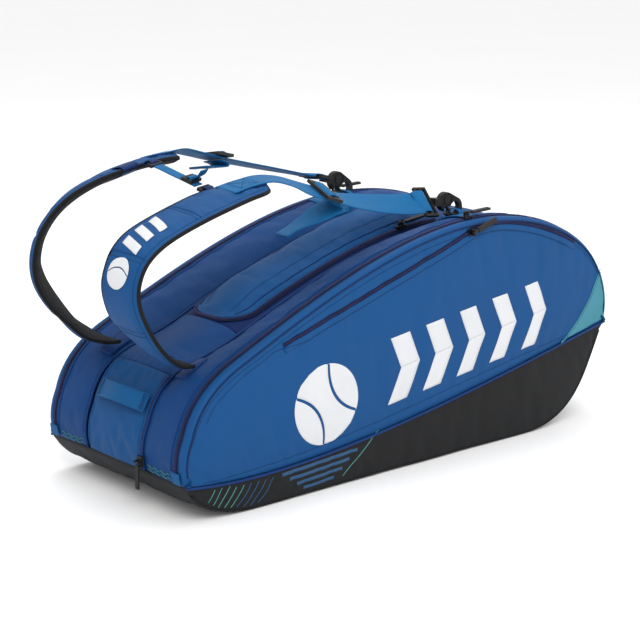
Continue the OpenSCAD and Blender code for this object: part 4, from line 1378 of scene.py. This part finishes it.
def pad_print(name, face, normal):
    """A generic print on a pad: a ball crossed by a seam, then three slanted bars."""
    n, m = face.shape[:2]
    rows, run = np.arange(n), lengths(face[:, m // 2])

    def lay(flat):
        """(along, across) points in metres from the pad's foot and middle line."""
        u = np.interp(flat[..., 0], run, rows)
        v = flat[..., 1] / (2 * PAD_HALF) * (m - 1) + (m - 1) / 2
        i, j = np.floor(u).astype(int).clip(0, n - 2), np.floor(v).astype(int).clip(0, m - 2)
        a, b = (u - i)[..., None], (v - j)[..., None]
        place = ((face[i, j] * (1 - a) + face[i + 1, j] * a) * (1 - b)
                 + (face[i, j + 1] * (1 - a) + face[i + 1, j + 1] * a) * b)
        return place + normal[i] * 0.0009

    ball, radius = 0.176, 0.019
    v = np.linspace(-radius, radius, 25)
    half = np.sqrt(np.maximum(radius**2 - v**2, 0))
    seam = radius * 0.45 * (1 - (v / radius) ** 2) - radius * 0.1
    seam = np.clip(seam, -half, half)
    parts = []
    for k, (low, high) in enumerate(((-half, np.maximum(seam - 0.0009, -half)),
                                     (np.minimum(seam + 0.0009, half), half))):
        x = low[:, None] + (high - low)[:, None] * np.linspace(0, 1, 10)
        flat = np.stack([ball + x, np.broadcast_to(v[:, None], x.shape)], -1)
        parts.append(shell(f"{name}_pad_ball_{k}", lay(flat), PRINT_THICK, "white"))
    for k in range(3):
        x0 = ball + 0.026 + 0.021 * k
        flat = sheet_of((x0, -0.017), (x0 + 0.010, 0.017), (x0 + 0.022, 0.017),
                        (x0 + 0.012, -0.017), 12, 5)
        parts.append(shell(f"{name}_pad_bar_{k}", lay(flat), PRINT_THICK, "white"))
    return join(name + "_pad_print", parts)


def sleeve(name, body, pad, place, length=0.022):
    """A band sewn round a strap pad at a share of its length."""
    centre, along, across, normal, half = pad
    i = int(place * (len(centre) - 1))
    a = np.linspace(0, 2 * math.pi, 41)
    c, s = np.cos(a), np.sin(a)
    x = np.sign(c) * np.abs(c) ** 0.55 * (half[i] + 0.0026)
    z = np.where(s > 0, s * 0.0064, s * 0.0070) - 0.0006
    grid = np.stack([centre[i] + along[i] * step + across[i] * x[:, None]
                     + normal[i] * z[:, None] for step in np.linspace(-length / 2, length / 2, 5)],
                    1)
    obj = shell(name, grid, 0.0011, "webbing_dark", centre=centre[i])
    lines = [stitching(grid[1:-1, k] + outward(grid, centre[i])[1:-1, k] * 1e-4,
                       outward(grid, centre[i])[1:-1, k], "thread_pale") for k in (0, 4)]
    return put(join(name + "_band", [obj] + lines), body)


def cross_box(origin, along, across, up, length, width, material="thread_pale"):
    """A sewn box with a cross in it."""
    corner = lambda a, b: origin + along * a * length / 2 + across * b * width / 2
    square = [corner(-1, -1), corner(1, -1), corner(1, 1), corner(-1, 1), corner(-1, -1)]
    lines = [stitching(np.linspace(square[k], square[k + 1], 12), up, material, 2.6)
             for k in range(4)]
    lines += [stitching(np.linspace(square[k], square[k + 2], 12), up, material, 2.6)
              for k in (0, 1)]
    return lines


def strap_webbing(name, y, route):
    centre, along, across, normal, _ = stations(route, y, 90)
    body = name + "_strap"
    sewn = 1 - ramp(np.arange(len(centre)), 8, 20)
    centre = centre - normal * (SEWN_DROP[name] * sewn)[:, None]
    parts = [ribbon(name + "_web", centre, across, normal, WEB_HALF, WEB_THICK, "webbing")]
    i = 5
    parts += cross_box(centre[i + 2] + normal[i] * 0.0010, along[i], across[i], normal[i], 0.026,
                       0.028)
    pad = ribbon(name + "_web_under", centre[:14] - normal[:14] * 0.0017, across[:14], normal[:14],
                 WEB_HALF, FREE_THICK, "webbing_dark")
    place, axes = turned(*HOOKS[name])
    fold = place([(-29, 0, -0.4), (-25, 0, 2.4), (-20, 0, 3.2), (-14, 0, 3.2), (-9.9, 0, 2.4),
                  (-8.5, 0, 0), (-9.9, 0, -2.4), (-14, 0, -2.9), (-18, 0, -2.9)])
    parts.append(ribbon(name + "_fold", *path_frames(fold, axes[1], 44), 0.0165, LOOP_THICK,
                        "webbing"))
    put(join(name + "_strap_web", parts + [pad]), body, (name + "_strap_webbing",))


def turned(origin, pitch, roll):
    """Frame of a CAD part: its axes as rows, from turns about X, then Y."""
    r = Matrix.Rotation(math.radians(pitch), 3, "Y") @ Matrix.Rotation(math.radians(roll), 3, "X")
    axes = np.array(r.transposed())
    return lambda p: np.asarray(p, float) * MM @ axes + np.array(origin) * MM, axes


def lock_webbing(name, lock, tail, lean=0):
    """Webbing wrapped over a slide lock, and its free tail, which leans over by its end."""
    place, axes = turned(*lock)
    wrap = place([(-6.6, 0, 2.6), (-6.2, 0, 3.8), (-5.0, 0, 6.2), (-2.6, 0, 7.5), (0, 0, 7.8),
                  (2.6, 0, 7.5), (5.0, 0, 6.2), (6.2, 0, 3.8), (6.6, 0, 2.6)])
    parts = [ribbon(name + "_wrap", *path_frames(wrap, axes[1], 30), 0.018, WEB_THICK, "webbing")]
    turn = math.radians(lean) * ramp(np.linspace(0, 1, 50), 0.35, 0.9)[:, None]
    free = path_frames(place(tail), axes[1] * np.cos(turn)
                       + (axes[0] * 0.8 - axes[2] * 0.6) * np.sin(turn), 50)
    parts.append(ribbon(name + "_free", *free, 0.018, WEB_THICK, "webbing"))
    hem = [c[-6:] for c in free]
    parts.append(ribbon(name + "_hem", hem[0] + hem[2] * 0.0014, hem[1], hem[2], 0.0182,
                        FREE_THICK, "handle"))
    line = hem[0][:2].mean(0) + hem[2][1] * 0.0022
    parts.append(stitching(np.linspace(line - hem[1][1] * 0.016, line + hem[1][1] * 0.016, 12),
                           hem[2][1], "thread", 2.6))
    put(join(name + "_tail_web", parts), name + "_lock", (name + "_webbing_tail",))


def straps():
    pads = {}
    for name, y, pad, web in STRAPS:
        pads[name] = strap_pad(name, y, pad)
        strap_webbing(name, y, web)
    sleeve("rear_sleeve", "rear_strap", pads["rear"], 0.80)
    lock_webbing("front", ((-105, -75, 360), 18, 20),
                 [(2, 0, -2.6), (14, 0, -3.0), (22, 0, -4.6), (25.5, 0, -8.5), (21, 0, -13.5),
                  (4, 0, -30), (-16, 0, -50), (-31.6, 0, -66.5)], 26)
    lock_webbing("rear", ((-160, 75, 391), 14, -11),
                 [(-2, 0, -3.4), (6, 0, -4.4), (11, 0, -6.4), (10.5, 0, -9.2), (4, 0, -11),
                  (-10, 0, -12.6), (-25, 0, -14.6)])


# ---- chest strap, handle and loops ------------------------------------------


def chest_strap():
    rear, front = CHEST
    run = front - rear
    length = np.linalg.norm(run)
    along = run / length
    across = unit(np.cross((0, 0, 1), along))
    up = np.cross(along, across)
    at = lambda x, z=0.0: rear + along * x * MM + up * z * MM
    reach = length / MM
    sides = []
    main = path_frames([at(0.8), at(12, 0.25), at(26, 0.1), at(reach - 22, 0.2), at(reach - 4.4)],
                       across, 24)
    sides.append(ribbon("chest_main", *main, 0.010, WEB_THICK, "webbing"))
    wrap = [at(reach - 20.4, 1.7), at(reach - 19.0, 5.2), at(reach - 16, 7.2),
            at(reach - 13.0, 5.2), at(reach - 11.6, 1.7)]
    sides.append(ribbon("chest_wrap", *path_frames(wrap, across, 18), 0.0098, FREE_THICK, "webbing"))
    free = [at(reach - 12.5, 4.6), at(reach - 9.5, 8.5), at(reach - 5, 14), at(reach - 3, 21)]
    sides.append(ribbon("chest_free", *path_frames(free, across, 16), 0.0096, FREE_THICK,
                        "webbing"))
    put(join("chest_strap_web", sides), "chest_strap", ("chest_strap",))
    for name, x, sign in (("front", reach + 4.5, 1), ("rear", -3.2, -1)):
        here = at(x)
        reach_ = along * sign * 0.0125
        down = np.array([0, 0, -0.0036])
        pts = [here + up * 0.0006 + reach_ * 1.05 + down * 1.2, here + up * 0.0030 + reach_ * 0.5,
               here + up * 0.0034 + reach_ * 0.30, here + up * 0.0024 + reach_ * 0.10,
               here - up * 0.0022 + reach_ * 0.08, here - up * 0.0033 + reach_ * 0.32,
               here - up * 0.0030 + reach_ * 0.6, here - up * 0.0012 + reach_ * 1.05 + down]
        obj = ribbon(name + "_glide_loop", *path_frames(pts, across, 34), 0.0092, LOOP_THICK,
                     "webbing_dark")
        put(obj, name + "_strap")


def tail_handle():
    tilt = math.radians(29)
    place = np.array([-0.364, -0.007, 0.1315])
    out = np.array([-math.cos(tilt), 0, math.sin(tilt)])
    wide = np.array([math.sin(tilt), 0, math.cos(tilt)])
    y = np.linspace(-48, 48, 61)
    bow = np.where(np.abs(y) < 40, 2.8 + 9 * np.cos(np.radians(y / 40 * 88)), 0)
    bow = np.where(np.abs(y) >= 40, 3.1 - (np.abs(y) - 40) * 0.12, bow)
    centre = place + out * bow[:, None] * MM + np.stack([0 * y, y * MM, 0 * y], 1)
    across = np.broadcast_to(wide, centre.shape)
    normal = np.broadcast_to(out, centre.shape)
    parts = [ribbon("handle_web", centre, across, normal, 0.0114, 0.0020, "handle")]
    for sign in (1, -1):
        at = place + out * 0.0045 + np.array([0, sign * 0.0435, 0])
        parts += cross_box(at, np.array([0, 1.0, 0]), wide, out, 0.006, 0.019, "thread")
    put(join("tail_handle_web", parts), "tail_handle", ("tail_handle",))


def hook_loops():
    """Webbing loops that the hooks hang in, each sewn down at both ends."""
    parts = []
    for name, x, y, top, low, high in (("front", 140.6, -64, 312.7, 301.4, 297.0),
                                       ("rear", 58.2, 64, 328.3, 289.2, 293.2)):
        line = [(-12.2, low), (-12.2, top - 6), (-10.4, top - 1.8), (-5, top - 0.5),
                (0, top - 0.4), (5, top - 0.5), (10.4, top - 1.8), (12.2, top - 6), (12.2, high)]
        pts = np.array([(0, dy, z) for dy, z in line]) * MM + (x * MM, y * MM, 0)
        parts.append(ribbon(name + "_loop", *path_frames(pts, (1, 0, 0), 44), 0.0034, LOOP_THICK,
                            "webbing"))
    put(join("hook_loop_web", parts), "bag", ("hook_anchors",))


# ---- hardware that stays as the CAD has it ----------------------------------

HARDWARE = {
    "hardware": ["front_lock_frame", "rear_lock_frame", "front_swivel_loop", "rear_swivel_loop",
                 "front_hook", "rear_hook", "front_hook_gate", "rear_hook_gate",
                 "chest_adjuster", "front_chest_glide", "rear_chest_glide"],
    "metal": ["front_zip_slider", "rear_zip_slider", "pocket_zip_slider", "top_zip_slider"],
    "puller": ["front_zip_puller", "rear_zip_puller", "pocket_zip_puller", "top_zip_puller",
               "shoe_zip_slider"],
}
EDGE = {"front_swivel_loop": 0.5, "rear_swivel_loop": 0.5, "front_hook_gate": 0.35,
        "rear_hook_gate": 0.35, "shoe_zip_slider": 0.5}


def hardware():
    for material, names in HARDWARE.items():
        for name in names:
            keep_node(name, material, EDGE.get(name, 0.7))


# ---- putting it together ----------------------------------------------------

camera()
studio()
lower = Surface(lower_body())
keep_node("base_board", "board", 0.6, 2)
gussets()
centre_top()
top_lid()
shoe_door()
piping_lines()
anchor_tabs()
small_trims()
inner_panels()
faces = side_covers()
pocket(faces["front"])
for name, sign in SIDES:
    corner_patch(name, faces[name], sign)
    emblem(name, faces[name], sign)
    lower_print(name, lower, sign)
straps()
chest_strap()
tail_handle()
hook_loops()
hardware()
